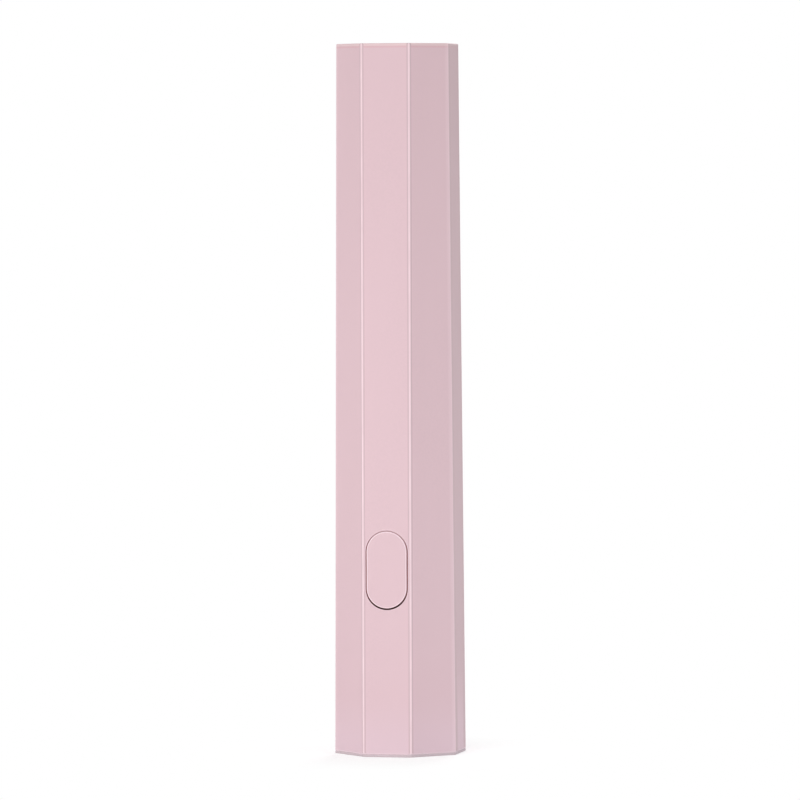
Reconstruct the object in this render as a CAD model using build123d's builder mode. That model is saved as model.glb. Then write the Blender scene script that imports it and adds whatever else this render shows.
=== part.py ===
from build123d import *
import os
from math import atan2, cos, degrees, radians, sin, sqrt, tan

# Handheld LED nail lamp: an eight-sided wand that narrows a little from its base to its lamp end.
# Sizes are millimetres. The base lies on z = 0, the wand stands along +Z, and the button faces -Y.
# A "depth" below is a distance from the long axis towards the button side.

os.makedirs("parts", exist_ok=True)

# Outer body
total_height = 150.0
base_apothem = 13.05
top_apothem = 12.08
facet_half = 5.15
wall = 1.8
end_wall = 1.8
edge_radius = 0.35
top_rim_radius = 0.25

# Tail cap, held by two screws at the back and a latch ridge at the front
flange_thickness = 0.55
base_rim_radius = 0.2
seam_bevel = 0.12
cap_fit = 0.1
cap_floor = 1.2
skirt_height = 3.0
skirt_wall = 1.2
latch_radius = 0.6
latch_stand = 0.35
latch_clearance = 0.12
latch_length = 5.0

# Small screws
screw_radius = 1.0
screw_fit = 0.02
screw_hole_clearance = 0.15
screw_head_radius = 1.85
screw_head_height = 1.4
screw_head_clearance = 0.2
screw_head_round = 0.3
screw_drive_radius = 0.8
screw_drive_depth = 0.7
screw_head_recess = 1.0
cap_screw_length = 7.0
board_screw_length = 5.0
led_screw_length = 4.6
boss_wall = 1.2
boss_cover = 0.3
boss_height = 6.0

# Button on the front facet
button_z = 39.33
button_rise = 0.1
button_width = 8.68
button_length = 16.28
button_gap = 0.17
button_proud = 0.2
button_round = 0.25
button_travel = 0.3
button_lip = 0.9
button_lip_thickness = 0.8
button_lip_side_gap = 0.2
button_rest_gap = 0.05
button_wall = 1.0
button_face_thickness = 1.2
button_rib = 0.8
stem_radius = 1.8
collar_wall = 1.1
opening_bevel = 0.06

# Lamp end
window_radius = 8.25
window_bevel = 0.5
gasket_thickness = 0.3
gasket_width = 1.2
lens_thickness = 2.0
lens_fit = 0.1
lens_recess = 0.7
lens_crown = 0.5
head_gap = 0.3
reflector_height = 11.0
reflector_wall = 0.9
reflector_rim = 0.8
reflector_mouth_rim = 1.5
reflector_throat = 2.7
reflector_neck = 1.4
reflector_bulge = 3.7
led_board_thickness = 1.2
led_board_gap = 0.1
led_slot_margin = 0.8
led_package_side = 3.5
led_package_height = 0.7
led_package_bevel = 0.25
led_dome_radius = 1.3
led_screw_circle = 6.8
pad_thickness = 0.2
pad_margin = 1.2
heat_sink_height = 12.0
heat_sink_face = 5.0
heat_sink_wall = 1.9
fin_groove = 1.2
fin_depth = 0.8
fin_count = 4

# Rechargeable cell
cell_radius = 9.15
cell_length = 49.0
can_wall = 0.25
can_round = 0.12
core_gap = 0.15
cell_cap_radius = 3.0
cell_cap_height = 0.75
cell_cap_round = 0.25
cell_cap_gap = 0.25
sleeve_thickness = 0.1
sleeve_lap = 1.6
insulator_thickness = 0.2
tab_thickness = 0.15
tab_width = 4.0
tab_clearance = 0.05
tab_fold = 0.45
foam_thickness = 1.0
foam_radius = 7.0
cell_gap = 0.1

# Moulded chassis
chassis_fit = 0.15
chassis_wall = 1.4
chassis_plate = 2.0
chassis_bulkhead = 1.6
cradle_grip = 2.6
rail_reach = 2.0
rail_depth = 2.1
rib_thickness = 1.2
rib_front = 5.2
rib_spacing = 12.5
rib_count = 4
plate_front_gap = 0.9
pad_block_reach = 5.4
pad_block_depth = 4.4
pad_block_height = 5.0

# Circuit board, parallel to the front facet and behind the button
board_thickness = 1.6
board_ledge = 0.8
board_floor_gap = 0.2
board_top_gap = 1.4
board_corner = 0.8
board_screw_low = 12.0
board_screw_drop = 15.0

# Charging port
usb_width = 8.94
usb_height = 3.26
usb_length = 7.35
usb_skin = 0.3
usb_recess = 0.3
usb_window_gap = 0.08
tongue_width = 6.69
tongue_thickness = 0.7
tongue_recess = 0.7
tongue_base = 1.6

# Push switch
switch_side = 6.0
switch_height = 3.4
switch_cover_thickness = 0.2
switch_cavity_radius = 2.3
plunger_radius = 1.7
plunger_fit = 0.05
plunger_round = 0.2
plunger_reach = 1.57
plunger_foot_radius = 2.1
plunger_foot_height = 0.6
dome_thickness = 0.12
dome_radius = 2.15
dome_spare = 0.1
leg_width = 0.7
leg_thickness = 0.25
leg_reach = 1.0
leg_spread = 4.5

# Connectors and leads
connector_x = 6.0
connector_drop = 6.5
socket_width = 5.0
socket_depth = 3.0
socket_height = 4.2
socket_wall = 0.4
plug_clearance = 0.05
plug_length = 4.4
lead_radius = 0.45
lead_pitch = 1.25
lead_gap = 0.3
lead_turn = 1.4
lead_arc_share = 0.45
lead_exit = 1.6
lead_slot_margin = 0.35
solder_lift = 0.02

# Parts on the board
chip_length = 5.0
chip_width = 4.0
chip_height = 1.5
chip_lift = 0.1
chip_bevel = 0.2
charge_chip_z = 19.0
driver_chip_z = 29.0
pin_pitch = 1.27
pin_width = 0.4
pin_thickness = 0.2
pin_reach = 1.0
inductor_side = 5.0
inductor_height = 2.4
inductor_round = 1.0
inductor_z = 39.0
capacitor_size = (1.25, 2.0, 1.2)
capacitor_spots = [(-7.2, 24.0), (-7.2, 29.0), (7.2, 22.0), (3.6, 34.0)]
resistor_size = (0.8, 1.6, 0.45)
resistor_spots = [(-6.0, 45.0), (-4.6, 45.0), (5.2, 27.0), (6.6, 27.0), (-2.0, 24.0), (2.0, 24.0)]
indicator_x = 6.0
indicator_size = (1.6, 0.8, 0.8)
indicator_z = 3.4
pipe_radius = 0.9
pipe_fit = 0.05
pipe_depth = 4.9
pipe_head_radius = 1.3
pipe_head_height = 0.6

# Each corner of the section moves by this share of an inset along its side
corner_share = sqrt(2) - 1
taper = (base_apothem - top_apothem) / total_height


def apothem(height):
    """Distance from the axis to the four upright facets of the outer skin."""
    return base_apothem - taper * height


def section_half(inset):
    """Half the width of those facets, for a section that is set in all round."""
    return facet_half - inset * corner_share


def octagon_points(height, inset=0.0):
    """Corners of the body's section at a height, with all eight sides set in alike."""
    main = apothem(height) - inset
    half = section_half(inset)
    front_to_back = [(half, -main), (main, -half), (main, half), (half, main)]
    return front_to_back + [(-x, y) for x, y in reversed(front_to_back)]


def corner_sum(height, inset):
    """The value of |x| + |y| along the four slanting facets of an inset section."""
    return apothem(height) - inset + section_half(inset)


def polar(radius, angle):
    """A point of the plan, from its distance and its angle from +X in degrees."""
    return (radius * cos(radians(angle)), radius * sin(radians(angle)))


def centred_box(x_size, y_size, z_size):
    """A block that stands on its location."""
    Box(x_size, y_size, z_size, align=(Align.CENTER, Align.CENTER, Align.MIN))


# Heights of the lamp end, from the top down
end_wall_under = total_height - end_wall
lens_top = end_wall_under - gasket_thickness
lens_under = lens_top - lens_thickness
led_board_top = lens_under - reflector_height
led_board_under = led_board_top - led_board_thickness
heat_sink_top = led_board_under - pad_thickness
chassis_top = heat_sink_top - heat_sink_height
head_radius = apothem(total_height) - wall - head_gap

# Heights of the cell and its bay
plate_under = chassis_top - chassis_plate
positive_tab_top = plate_under - foam_thickness
cell_cap_top = positive_tab_top - tab_thickness
can_top = cell_cap_top - cell_cap_height
can_bottom = can_top - cell_length
bulkhead_top = can_bottom - tab_thickness
bulkhead_under = bulkhead_top - chassis_bulkhead
sleeve_radius = cell_radius + sleeve_thickness
cradle_radius = sleeve_radius + cell_gap

# Tail end, board and chassis
floor_top = flange_thickness + cap_floor
skirt_top = floor_top + skirt_height
cap_inset = wall + cap_fit
chassis_inset = wall + chassis_fit
chassis_inner = chassis_inset + chassis_wall
board_back = -usb_height / 2
board_front = board_back - board_thickness
board_bottom = floor_top + board_floor_gap
board_top = bulkhead_under - board_top_gap
board_height = board_top - board_bottom
rail_inner = apothem(bulkhead_under) - chassis_inset - rail_reach
board_half = rail_inner + board_ledge
boss_radius = screw_radius + boss_wall
boss_diagonal = corner_sum(skirt_top, chassis_inset) / sqrt(2) - boss_radius - boss_cover
boss_place = boss_diagonal / sqrt(2)
screw_bore = screw_radius + screw_fit
screw_seat = screw_head_recess + screw_head_height
boss_spots = [(boss_place, boss_place), (-boss_place, boss_place)]
latch_z = floor_top + skirt_height / 2
latch_y = -(apothem(latch_z) - cap_inset + latch_stand - latch_radius)
board_screw_x = rail_inner - pad_block_reach / 2 + rail_reach / 2
board_screw_spots = [(-board_screw_x, board_screw_low), (board_screw_x, board_top - board_screw_drop)]

# Depths of the button and switch, as distances from the axis towards the front
cap_z = button_z + button_rise
lip_half = button_width / 2 + button_lip
lip_top = cap_z + button_length / 2 + button_lip
lip_front = corner_sum(lip_top, wall) - lip_half - button_lip_side_gap
lip_back = lip_front - button_lip_thickness
collar_end = lip_front + button_rest_gap
facet_depth = apothem(button_z)
button_ceiling = facet_depth + button_proud - button_face_thickness
switch_face = -board_front + switch_height
plunger_tip = switch_face + plunger_reach
stem_end = plunger_tip + button_rest_gap
front_normal = (0, -1, taper)
front_facet = Plane(origin=(0, -facet_depth, button_z), x_dir=(1, 0, 0), z_dir=front_normal)

# Leads run up the corners of the bore, between the cell and the shell
lead_circle = sleeve_radius + lead_gap + lead_radius
corner_angle = degrees(atan2(section_half(wall), apothem(chassis_top) - wall))
red_lead_angle = -90 - corner_angle
black_lead_angle = -180 + corner_angle
lead_slot_radius = lead_radius + lead_slot_margin
plug_top = board_top - connector_drop
lead_depth = -board_front + socket_depth / 2


# Outer shell with its end wall, window, button opening, collar and latch groove
with BuildPart() as body_shell:
    for height in (flange_thickness, total_height):
        with BuildSketch(Plane.XY.offset(height)):
            Polygon(*octagon_points(height), align=None)
    loft(ruled=True)
    fillet(body_shell.edges().filter_by(lambda edge: edge.length > total_height / 2), edge_radius)
    fillet(body_shell.faces().sort_by(Axis.Z)[-1].edges(), top_rim_radius)
    chamfer(body_shell.faces().sort_by(Axis.Z)[0].edges(), seam_bevel)
    for height in (0, end_wall_under):
        with BuildSketch(Plane.XY.offset(height)):
            Polygon(*octagon_points(height, wall), align=None)
    loft(ruled=True, mode=Mode.SUBTRACT)
    with BuildSketch(Plane.XY.offset(end_wall_under)):
        Circle(window_radius)
    extrude(amount=end_wall, mode=Mode.SUBTRACT)
    chamfer(body_shell.faces().sort_by(Axis.Z)[-1].inner_wires()[0].edges(), window_bevel)
    with BuildSketch(Plane.XZ.offset(collar_end)):
        with Locations((0, button_z)):
            SlotOverall(
                button_length + 2 * (button_gap + collar_wall),
                button_width + 2 * (button_gap + collar_wall),
                rotation=90,
            )
    extrude(amount=facet_depth - wall / 2 - collar_end)
    with BuildSketch(Plane.XZ.offset(lip_back)):
        with Locations((0, button_z)):
            SlotOverall(button_length + 2 * button_gap, button_width + 2 * button_gap, rotation=90)
    extrude(amount=base_apothem, mode=Mode.SUBTRACT)
    for level in (-2 * opening_bevel, opening_bevel):
        with BuildSketch(front_facet.offset(level)):
            flare = 2 * (button_gap + opening_bevel + level)
            SlotOverall(button_length + flare, button_width + flare, rotation=90)
    loft(ruled=True, mode=Mode.SUBTRACT)
    with Locations(Location((0, latch_y, latch_z), (0, 90, 0))):
        Cylinder(
            latch_radius + latch_clearance, latch_length + 2 * latch_clearance, mode=Mode.SUBTRACT
        )

# Tail cap: flange, plug floor, skirt, screw bosses, port window and light pipe hole
with BuildPart() as tail_cap:
    for height in (0, flange_thickness):
        with BuildSketch(Plane.XY.offset(height)):
            Polygon(*octagon_points(height), align=None)
    loft(ruled=True)
    fillet(tail_cap.edges().filter_by(lambda edge: edge.length < facet_half), edge_radius)
    fillet(tail_cap.faces().sort_by(Axis.Z)[0].edges(), base_rim_radius)
    chamfer(tail_cap.faces().sort_by(Axis.Z)[-1].edges(), seam_bevel)
    for height in (flange_thickness, skirt_top):
        with BuildSketch(Plane.XY.offset(height)):
            Polygon(*octagon_points(height, cap_inset), align=None)
    loft(ruled=True)
    for height in (floor_top, skirt_top):
        with BuildSketch(Plane.XY.offset(height)):
            Polygon(*octagon_points(height, cap_inset + skirt_wall), align=None)
    loft(ruled=True, mode=Mode.SUBTRACT)
    with BuildSketch(Plane.XY.offset(floor_top)):
        with Locations(*boss_spots):
            Circle(boss_radius + boss_cover)
    extrude(amount=skirt_height)
    with Locations(Location((0, latch_y, latch_z), (0, 90, 0))):
        Cylinder(latch_radius, latch_length)
    with BuildSketch(Plane.XY):
        SlotOverall(usb_width + 2 * usb_window_gap, usb_height + 2 * usb_window_gap)
        with Locations((indicator_x, -pipe_depth)):
            Circle(pipe_radius + pipe_fit)
    extrude(amount=floor_top, mode=Mode.SUBTRACT)
    with Locations(*[Location((x, y, 0), (180, 0, 0)) for x, y in boss_spots]):
        CounterBoreHole(
            screw_radius + screw_hole_clearance,
            screw_head_radius + screw_head_clearance,
            screw_seat,
            skirt_top,
        )


def screw_set(places, length):
    """Pan-head screws, each standing on its location with the shank along its own +Z."""
    with BuildPart() as screws:
        with BuildSketch(Plane.XZ) as profile:
            with BuildLine():
                Polyline(
                    (0, -screw_head_height + screw_drive_depth),
                    (screw_drive_radius, -screw_head_height + screw_drive_depth),
                    (screw_drive_radius, -screw_head_height),
                    (screw_head_radius - screw_head_round, -screw_head_height),
                    (screw_head_radius, -screw_head_height + screw_head_round),
                    (screw_head_radius, 0),
                    (screw_radius, 0),
                    (screw_radius, length - screw_radius),
                    (screw_radius / 2, length),
                    (0, length),
                    close=True,
                )
            make_face()
        revolve(axis=Axis.Z)
    with BuildPart() as group:
        with Locations(*places):
            add(screws.part)
    return group


cap_screws = screw_set([Location((x, y, screw_seat)) for x, y in boss_spots], cap_screw_length)

# Light pipe beside the port
with BuildPart() as charge_light_pipe:
    with Locations((indicator_x, -pipe_depth, 0)):
        Cylinder(pipe_radius, floor_top, align=(Align.CENTER, Align.CENTER, Align.MIN))
    with Locations((indicator_x, -pipe_depth, floor_top)):
        Cylinder(pipe_head_radius, pipe_head_height, align=(Align.CENTER, Align.CENTER, Align.MIN))

# Button cap: hollow moulding with a retaining lip, cross ribs and a stem
with BuildPart() as button_cap:
    with BuildSketch(Plane.XZ.offset(lip_front)):
        with Locations((0, cap_z)):
            SlotOverall(button_length, button_width, rotation=90)
    extrude(amount=base_apothem - lip_front + wall)
    split(bisect_by=front_facet.offset(button_proud), keep=Keep.BOTTOM)
    fillet(button_cap.faces().sort_by(Axis.Y)[0].edges(), button_round)
    with BuildSketch(Plane.XZ.offset(lip_back)):
        with Locations((0, cap_z)):
            SlotOverall(button_length + 2 * button_lip, button_width + 2 * button_lip, rotation=90)
    extrude(amount=button_lip_thickness)
    with BuildSketch(Plane.XZ.offset(lip_back)):
        with Locations((0, cap_z)):
            SlotOverall(button_length - 2 * button_wall, button_width - 2 * button_wall, rotation=90)
            Rectangle(button_rib, button_length, mode=Mode.SUBTRACT)
            Rectangle(button_width, button_rib, mode=Mode.SUBTRACT)
    extrude(amount=button_ceiling - lip_back, mode=Mode.SUBTRACT)
    with BuildSketch(Plane.XZ.offset(stem_end)):
        with Locations((0, button_z)):
            Circle(stem_radius)
    extrude(amount=button_ceiling - stem_end)

# Clear lens with a raised middle that fills the window
with BuildPart() as lens:
    with BuildSketch(Plane.XZ):
        with BuildLine():
            crown_edge = total_height - lens_recess - lens_crown
            boss = window_radius - lens_fit
            Polyline(
                (0, total_height - lens_recess),
                (0, lens_under),
                (head_radius, lens_under),
                (head_radius, lens_top),
                (boss, lens_top),
                (boss, crown_edge),
            )
            crown_rise = (boss**2 + lens_crown**2) / (2 * lens_crown)
            RadiusArc((boss, crown_edge), (0, total_height - lens_recess), -crown_rise)
        make_face()
    revolve(axis=Axis.Z)

# Soft ring between the lens and the end wall
with BuildPart() as lens_gasket:
    with BuildSketch(Plane.XY.offset(lens_top)):
        Circle(head_radius)
        Circle(head_radius - gasket_width, mode=Mode.SUBTRACT)
    extrude(amount=gasket_thickness)

# Bright cup between the emitter and the lens
with BuildPart() as reflector:
    mouth = head_radius - reflector_mouth_rim
    throat_top = led_board_top + reflector_neck
    with BuildSketch(Plane.XZ):
        with BuildLine():
            Polyline((reflector_throat, throat_top), (reflector_throat, led_board_top))
            Line((reflector_throat, led_board_top), (reflector_throat + reflector_wall, led_board_top))
            Line(
                (reflector_throat + reflector_wall, led_board_top),
                (reflector_throat + reflector_wall, throat_top),
            )
            Bezier(
                (reflector_throat + reflector_wall, throat_top),
                (mouth - reflector_wall, throat_top + reflector_bulge),
                (mouth + reflector_wall, lens_under - reflector_rim),
            )
            Polyline(
                (mouth + reflector_wall, lens_under - reflector_rim),
                (head_radius, lens_under - reflector_rim),
                (head_radius, lens_under),
                (mouth, lens_under),
            )
            Bezier(
                (mouth, lens_under),
                (mouth - 2 * reflector_wall, throat_top + reflector_bulge),
                (reflector_throat, throat_top),
            )
        make_face()
    revolve(axis=Axis.Z)

# Metal-core board, thermal pad and heat sink
lead_slots = [polar(lead_circle, red_lead_angle), polar(lead_circle, black_lead_angle)]
led_screw_spots = [polar(led_screw_circle, angle) for angle in (0, 180)]

with BuildPart() as led_board:
    with BuildSketch(Plane.XY.offset(led_board_under)):
        Circle(head_radius - led_board_gap)
        with Locations(*led_screw_spots):
            Circle(screw_radius + screw_hole_clearance, mode=Mode.SUBTRACT)
        with Locations(*lead_slots):
            Circle(lead_radius + led_slot_margin, mode=Mode.SUBTRACT)
    extrude(amount=led_board_thickness)

with BuildPart() as thermal_pad:
    with BuildSketch(Plane.XY.offset(heat_sink_top)):
        Circle(head_radius - pad_margin)
        with Locations(*led_screw_spots):
            Circle(screw_radius + screw_hole_clearance, mode=Mode.SUBTRACT)
    extrude(amount=pad_thickness)

with BuildPart() as heat_sink:
    with BuildSketch(Plane.XY.offset(chassis_top)):
        Circle(head_radius)
        Circle(head_radius - heat_sink_wall, mode=Mode.SUBTRACT)
    extrude(amount=heat_sink_height)
    with BuildSketch(Plane.XY.offset(heat_sink_top - heat_sink_face)):
        Circle(head_radius)
    extrude(amount=heat_sink_face)
    groove_pitch = heat_sink_height / (fin_count + 1)
    for number in range(fin_count):
        groove_z = chassis_top + groove_pitch * (number + 1) - fin_groove / 2
        with BuildSketch(Plane.XY.offset(groove_z)):
            Circle(head_radius)
            Circle(head_radius - fin_depth, mode=Mode.SUBTRACT)
        extrude(amount=fin_groove, mode=Mode.SUBTRACT)
    with BuildSketch(Plane.XY.offset(chassis_top)):
        with Locations(*lead_slots):
            Circle(lead_slot_radius)
    extrude(amount=heat_sink_height, mode=Mode.SUBTRACT)
    with BuildSketch(Plane.XY.offset(heat_sink_top - heat_sink_face)):
        with Locations(*led_screw_spots):
            Circle(screw_bore)
    extrude(amount=heat_sink_face, mode=Mode.SUBTRACT)

led_board_screws = screw_set(
    [Location((x, y, led_board_top), (180, 0, 0)) for x, y in led_screw_spots], led_screw_length
)

# Emitter package and its clear dome
with BuildPart() as led_package:
    with Locations((0, 0, led_board_top)):
        centred_box(led_package_side, led_package_side, led_package_height)
    chamfer(led_package.edges().filter_by(Axis.Z), led_package_bevel)

with BuildPart() as led_dome:
    with Locations((0, 0, led_board_top + led_package_height)):
        Sphere(led_dome_radius, arc_size1=0, align=(Align.CENTER, Align.CENTER, Align.MIN))

# Cell: can, wound core, top cap, shrink sleeve, insulating ring and tabs
with BuildPart() as cell_can:
    with BuildSketch(Plane.XY.offset(can_bottom)):
        Circle(cell_radius)
    extrude(amount=cell_length)
    with BuildSketch(Plane.XY.offset(can_bottom + can_wall)):
        Circle(cell_radius - can_wall)
    extrude(amount=cell_length - 2 * can_wall, mode=Mode.SUBTRACT)
    with BuildSketch(Plane.XY.offset(can_top - can_wall)):
        Circle(cell_cap_radius + cell_cap_gap)
    extrude(amount=can_wall, mode=Mode.SUBTRACT)
    fillet(cell_can.faces().sort_by(Axis.Z)[0].edges(), can_round)

with BuildPart() as cell_core:
    with BuildSketch(Plane.XY.offset(can_bottom + can_wall + core_gap)):
        Circle(cell_radius - can_wall - core_gap)
    extrude(amount=cell_length - 2 * (can_wall + core_gap))

with BuildPart() as cell_cap:
    with BuildSketch(Plane.XY.offset(can_top - can_wall - core_gap)):
        Circle(cell_cap_radius)
    extrude(amount=cell_cap_height + can_wall + core_gap)
    fillet(cell_cap.faces().sort_by(Axis.Z)[-1].edges(), cell_cap_round)

with BuildPart() as cell_insulator:
    with BuildSketch(Plane.XY.offset(can_top)):
        Circle(cell_radius - sleeve_lap)
        Circle(cell_cap_radius + 2 * cell_cap_gap, mode=Mode.SUBTRACT)
    extrude(amount=insulator_thickness)

with BuildPart() as cell_sleeve:
    with BuildSketch(Plane.XY.offset(can_bottom)):
        Circle(sleeve_radius)
        Circle(cell_radius, mode=Mode.SUBTRACT)
    extrude(amount=cell_length)
    with BuildSketch(Plane.XY.offset(can_top)):
        Circle(sleeve_radius)
        Circle(cell_radius - sleeve_lap + tab_clearance, mode=Mode.SUBTRACT)
    extrude(amount=sleeve_thickness)

# The positive strip crosses the top cap and folds down the front of the sleeve
strip_depth = sleeve_radius + tab_clearance
strip_end = bulkhead_top + tab_width
with BuildPart() as positive_tab:
    with BuildSketch(Plane.YZ):
        with BuildLine():
            FilletPolyline(
                (cell_cap_radius, cell_cap_top),
                (-strip_depth, cell_cap_top),
                (-strip_depth, strip_end),
                radius=tab_fold,
            )
            Line((-strip_depth, strip_end), (-strip_depth - tab_thickness, strip_end))
            FilletPolyline(
                (-strip_depth - tab_thickness, strip_end),
                (-strip_depth - tab_thickness, positive_tab_top),
                (cell_cap_radius, positive_tab_top),
                radius=tab_fold + tab_thickness,
            )
            Line((cell_cap_radius, positive_tab_top), (cell_cap_radius, cell_cap_top))
        make_face()
    extrude(amount=tab_width / 2, both=True)

negative_spot = (connector_x + lead_pitch / 2, -lead_depth)
negative_angle = degrees(atan2(negative_spot[1], negative_spot[0]))
negative_reach = sqrt(negative_spot[0] ** 2 + negative_spot[1] ** 2)
with BuildPart() as negative_tab:
    with BuildSketch(Plane.XY.offset(bulkhead_top)):
        with Locations(polar(-cell_cap_radius, negative_angle)):
            Rectangle(
                cell_cap_radius + negative_reach + 2 * lead_radius,
                tab_width,
                rotation=negative_angle,
                align=(Align.MIN, Align.CENTER),
            )
    extrude(amount=tab_thickness)

with BuildPart() as cell_foam:
    with BuildSketch(Plane.XY.offset(positive_tab_top)):
        Circle(foam_radius)
    extrude(amount=foam_thickness)

# Chassis: board trough with rails and ribs below, cell cradle above, plate under the heat sink
with BuildPart() as chassis:
    for height in (skirt_top, chassis_top):
        with BuildSketch(Plane.XY.offset(height)):
            Polygon(*octagon_points(height, chassis_inset), align=None)
    loft(ruled=True)
    for height in (skirt_top, bulkhead_under):
        with BuildSketch(Plane.XY.offset(height)):
            Polygon(*octagon_points(height, chassis_inner), align=None)
    loft(ruled=True, mode=Mode.SUBTRACT)
    rail_height = bulkhead_under - skirt_top
    rail_block = rail_reach - chassis_wall / 2
    for side in (-1, 1):
        with Locations((side * (rail_inner + rail_block / 2), board_back + rail_depth / 2, skirt_top)):
            centred_box(rail_block, rail_depth, rail_height)
    for number in range(rib_count):
        level = board_screw_low + pad_block_height + rib_spacing * number
        with BuildSketch(Plane.XY.offset(level)):
            Polygon(*octagon_points(level, chassis_inset + chassis_wall / 2), align=None)
            with Locations((0, rib_front)):
                Rectangle(
                    2 * base_apothem,
                    base_apothem,
                    align=(Align.CENTER, Align.MIN),
                    mode=Mode.INTERSECT,
                )
        extrude(amount=rib_thickness)
    for x, z in board_screw_spots:
        side = 1 if x > 0 else -1
        block_x = side * (rail_inner + rail_block - pad_block_reach / 2)
        with Locations((block_x, board_back + pad_block_depth / 2, z - pad_block_height / 2)):
            centred_box(pad_block_reach, pad_block_depth, pad_block_height)
    with BuildSketch(Plane.XY.offset(skirt_top)):
        with Locations(*boss_spots):
            Circle(boss_radius)
    extrude(amount=boss_height)
    front_cuts = [
        (skirt_top, bulkhead_under, board_back),
        (bulkhead_under, plate_under, -cradle_grip),
        (plate_under, chassis_top, plate_front_gap - sleeve_radius),
    ]
    for low, high, front in front_cuts:
        with Locations((0, front, low)):
            Box(
                2 * base_apothem,
                base_apothem,
                high - low,
                align=(Align.CENTER, Align.MAX, Align.MIN),
                mode=Mode.SUBTRACT,
            )
    with BuildSketch(Plane.XY.offset(bulkhead_top)):
        Circle(cradle_radius)
    extrude(amount=plate_under - bulkhead_top, mode=Mode.SUBTRACT)
    with BuildSketch(Plane.XY.offset(plate_under)):
        with Locations(polar(lead_circle, black_lead_angle)):
            Circle(lead_slot_radius)
    extrude(amount=chassis_plate, mode=Mode.SUBTRACT)
    with BuildSketch(Plane.XY.offset(skirt_top)):
        with Locations(*boss_spots):
            Circle(screw_bore)
    extrude(amount=boss_height, mode=Mode.SUBTRACT)
    with BuildSketch(Plane.XZ.offset(-board_back)):
        with Locations(*board_screw_spots):
            Circle(screw_bore)
    extrude(amount=-pad_block_depth, mode=Mode.SUBTRACT)

# Circuit board and its screws
with BuildPart() as main_board:
    with BuildSketch(Plane.XZ.offset(-board_back)):
        with Locations((0, board_bottom + board_height / 2)):
            RectangleRounded(2 * board_half, board_height, board_corner)
        with Locations(*board_screw_spots):
            Circle(screw_radius + screw_hole_clearance, mode=Mode.SUBTRACT)
    extrude(amount=board_thickness)

board_screws = screw_set(
    [Location((x, board_front, z), (-90, 0, 0)) for x, z in board_screw_spots], board_screw_length
)

# Charging receptacle behind the board, its mouth just inside the cap
with BuildPart() as usb_shell:
    with BuildSketch(Plane.XY.offset(usb_recess)):
        SlotOverall(usb_width, usb_height)
    extrude(amount=usb_length)
    with BuildSketch(Plane.XY.offset(usb_recess)):
        SlotOverall(usb_width - 2 * usb_skin, usb_height - 2 * usb_skin)
    extrude(amount=usb_length - usb_skin, mode=Mode.SUBTRACT)

with BuildPart() as usb_tongue:
    tongue_top = usb_recess + usb_length - usb_skin
    with BuildSketch(Plane.XY.offset(usb_recess + tongue_recess)):
        Rectangle(tongue_width, tongue_thickness)
    extrude(amount=tongue_top - usb_recess - tongue_recess)
    with BuildSketch(Plane.XY.offset(tongue_top - tongue_base)):
        SlotOverall(usb_width - 2 * usb_skin, usb_height - 2 * usb_skin)
    extrude(amount=tongue_base)

# Push switch: base with its cavity, steel cover, plunger, snap dome and legs
cover_back = switch_face - switch_cover_thickness
foot_front = cover_back - plunger_fit
foot_back = foot_front - plunger_foot_height
dome_rise = button_travel + dome_thickness + dome_spare
cavity_floor = foot_back - plunger_fit - dome_rise
with BuildPart() as switch_housing:
    with BuildSketch(Plane.XZ.offset(-board_front)):
        with Locations((0, button_z)):
            Rectangle(switch_side, switch_side)
    extrude(amount=cover_back + board_front)
    with BuildSketch(Plane.XZ.offset(cavity_floor)):
        with Locations((0, button_z)):
            Circle(switch_cavity_radius)
    extrude(amount=cover_back - cavity_floor, mode=Mode.SUBTRACT)

with BuildPart() as switch_cover:
    with BuildSketch(Plane.XZ.offset(cover_back)):
        with Locations((0, button_z)):
            RectangleRounded(switch_side, switch_side, switch_cover_thickness)
            Circle(plunger_radius + plunger_fit, mode=Mode.SUBTRACT)
    extrude(amount=switch_cover_thickness)

with BuildPart() as switch_plunger:
    with BuildSketch(Plane.XZ.offset(foot_back)):
        with Locations((0, button_z)):
            Circle(plunger_foot_radius)
    extrude(amount=plunger_foot_height)
    with BuildSketch(Plane.XZ.offset(foot_front)):
        with Locations((0, button_z)):
            Circle(plunger_radius)
    extrude(amount=plunger_tip - foot_front)
    fillet(switch_plunger.faces().sort_by(Axis.Y)[0].edges(), plunger_round)

with BuildPart() as switch_dome:
    dome_plane = Plane(origin=(0, -cavity_floor, button_z), x_dir=(1, 0, 0), z_dir=(0, 0, 1))
    outer_arc = (dome_radius**2 + dome_rise**2) / (2 * dome_rise)
    inner_rise = dome_rise - dome_thickness
    inner_radius = dome_radius - dome_thickness
    inner_arc = (inner_radius**2 + inner_rise**2) / (2 * inner_rise)
    with BuildSketch(dome_plane):
        with BuildLine():
            Line((inner_radius, 0), (dome_radius, 0))
            RadiusArc((dome_radius, 0), (0, -dome_rise), outer_arc)
            Line((0, -dome_rise), (0, -inner_rise))
            RadiusArc((0, -inner_rise), (inner_radius, 0), -inner_arc)
        make_face()
    revolve(axis=Axis((0, 0, button_z), (0, 1, 0)))

with BuildPart() as switch_legs:
    leg_top = board_front - switch_height / 2
    for side in (-1, 1):
        root = button_z + side * switch_side / 2
        knee = root + side * leg_thickness
        toe = root + side * leg_reach
        for leg_x in (-leg_spread / 2, leg_spread / 2):
            with BuildSketch(Plane.YZ.offset(leg_x - leg_width / 2)):
                with BuildLine():
                    Polyline(
                        (board_front, root),
                        (board_front, toe),
                        (board_front - leg_thickness, toe),
                        (board_front - leg_thickness, knee),
                        (leg_top, knee),
                        (leg_top, root),
                        close=True,
                    )
                make_face()
            extrude(amount=leg_width)


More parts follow.
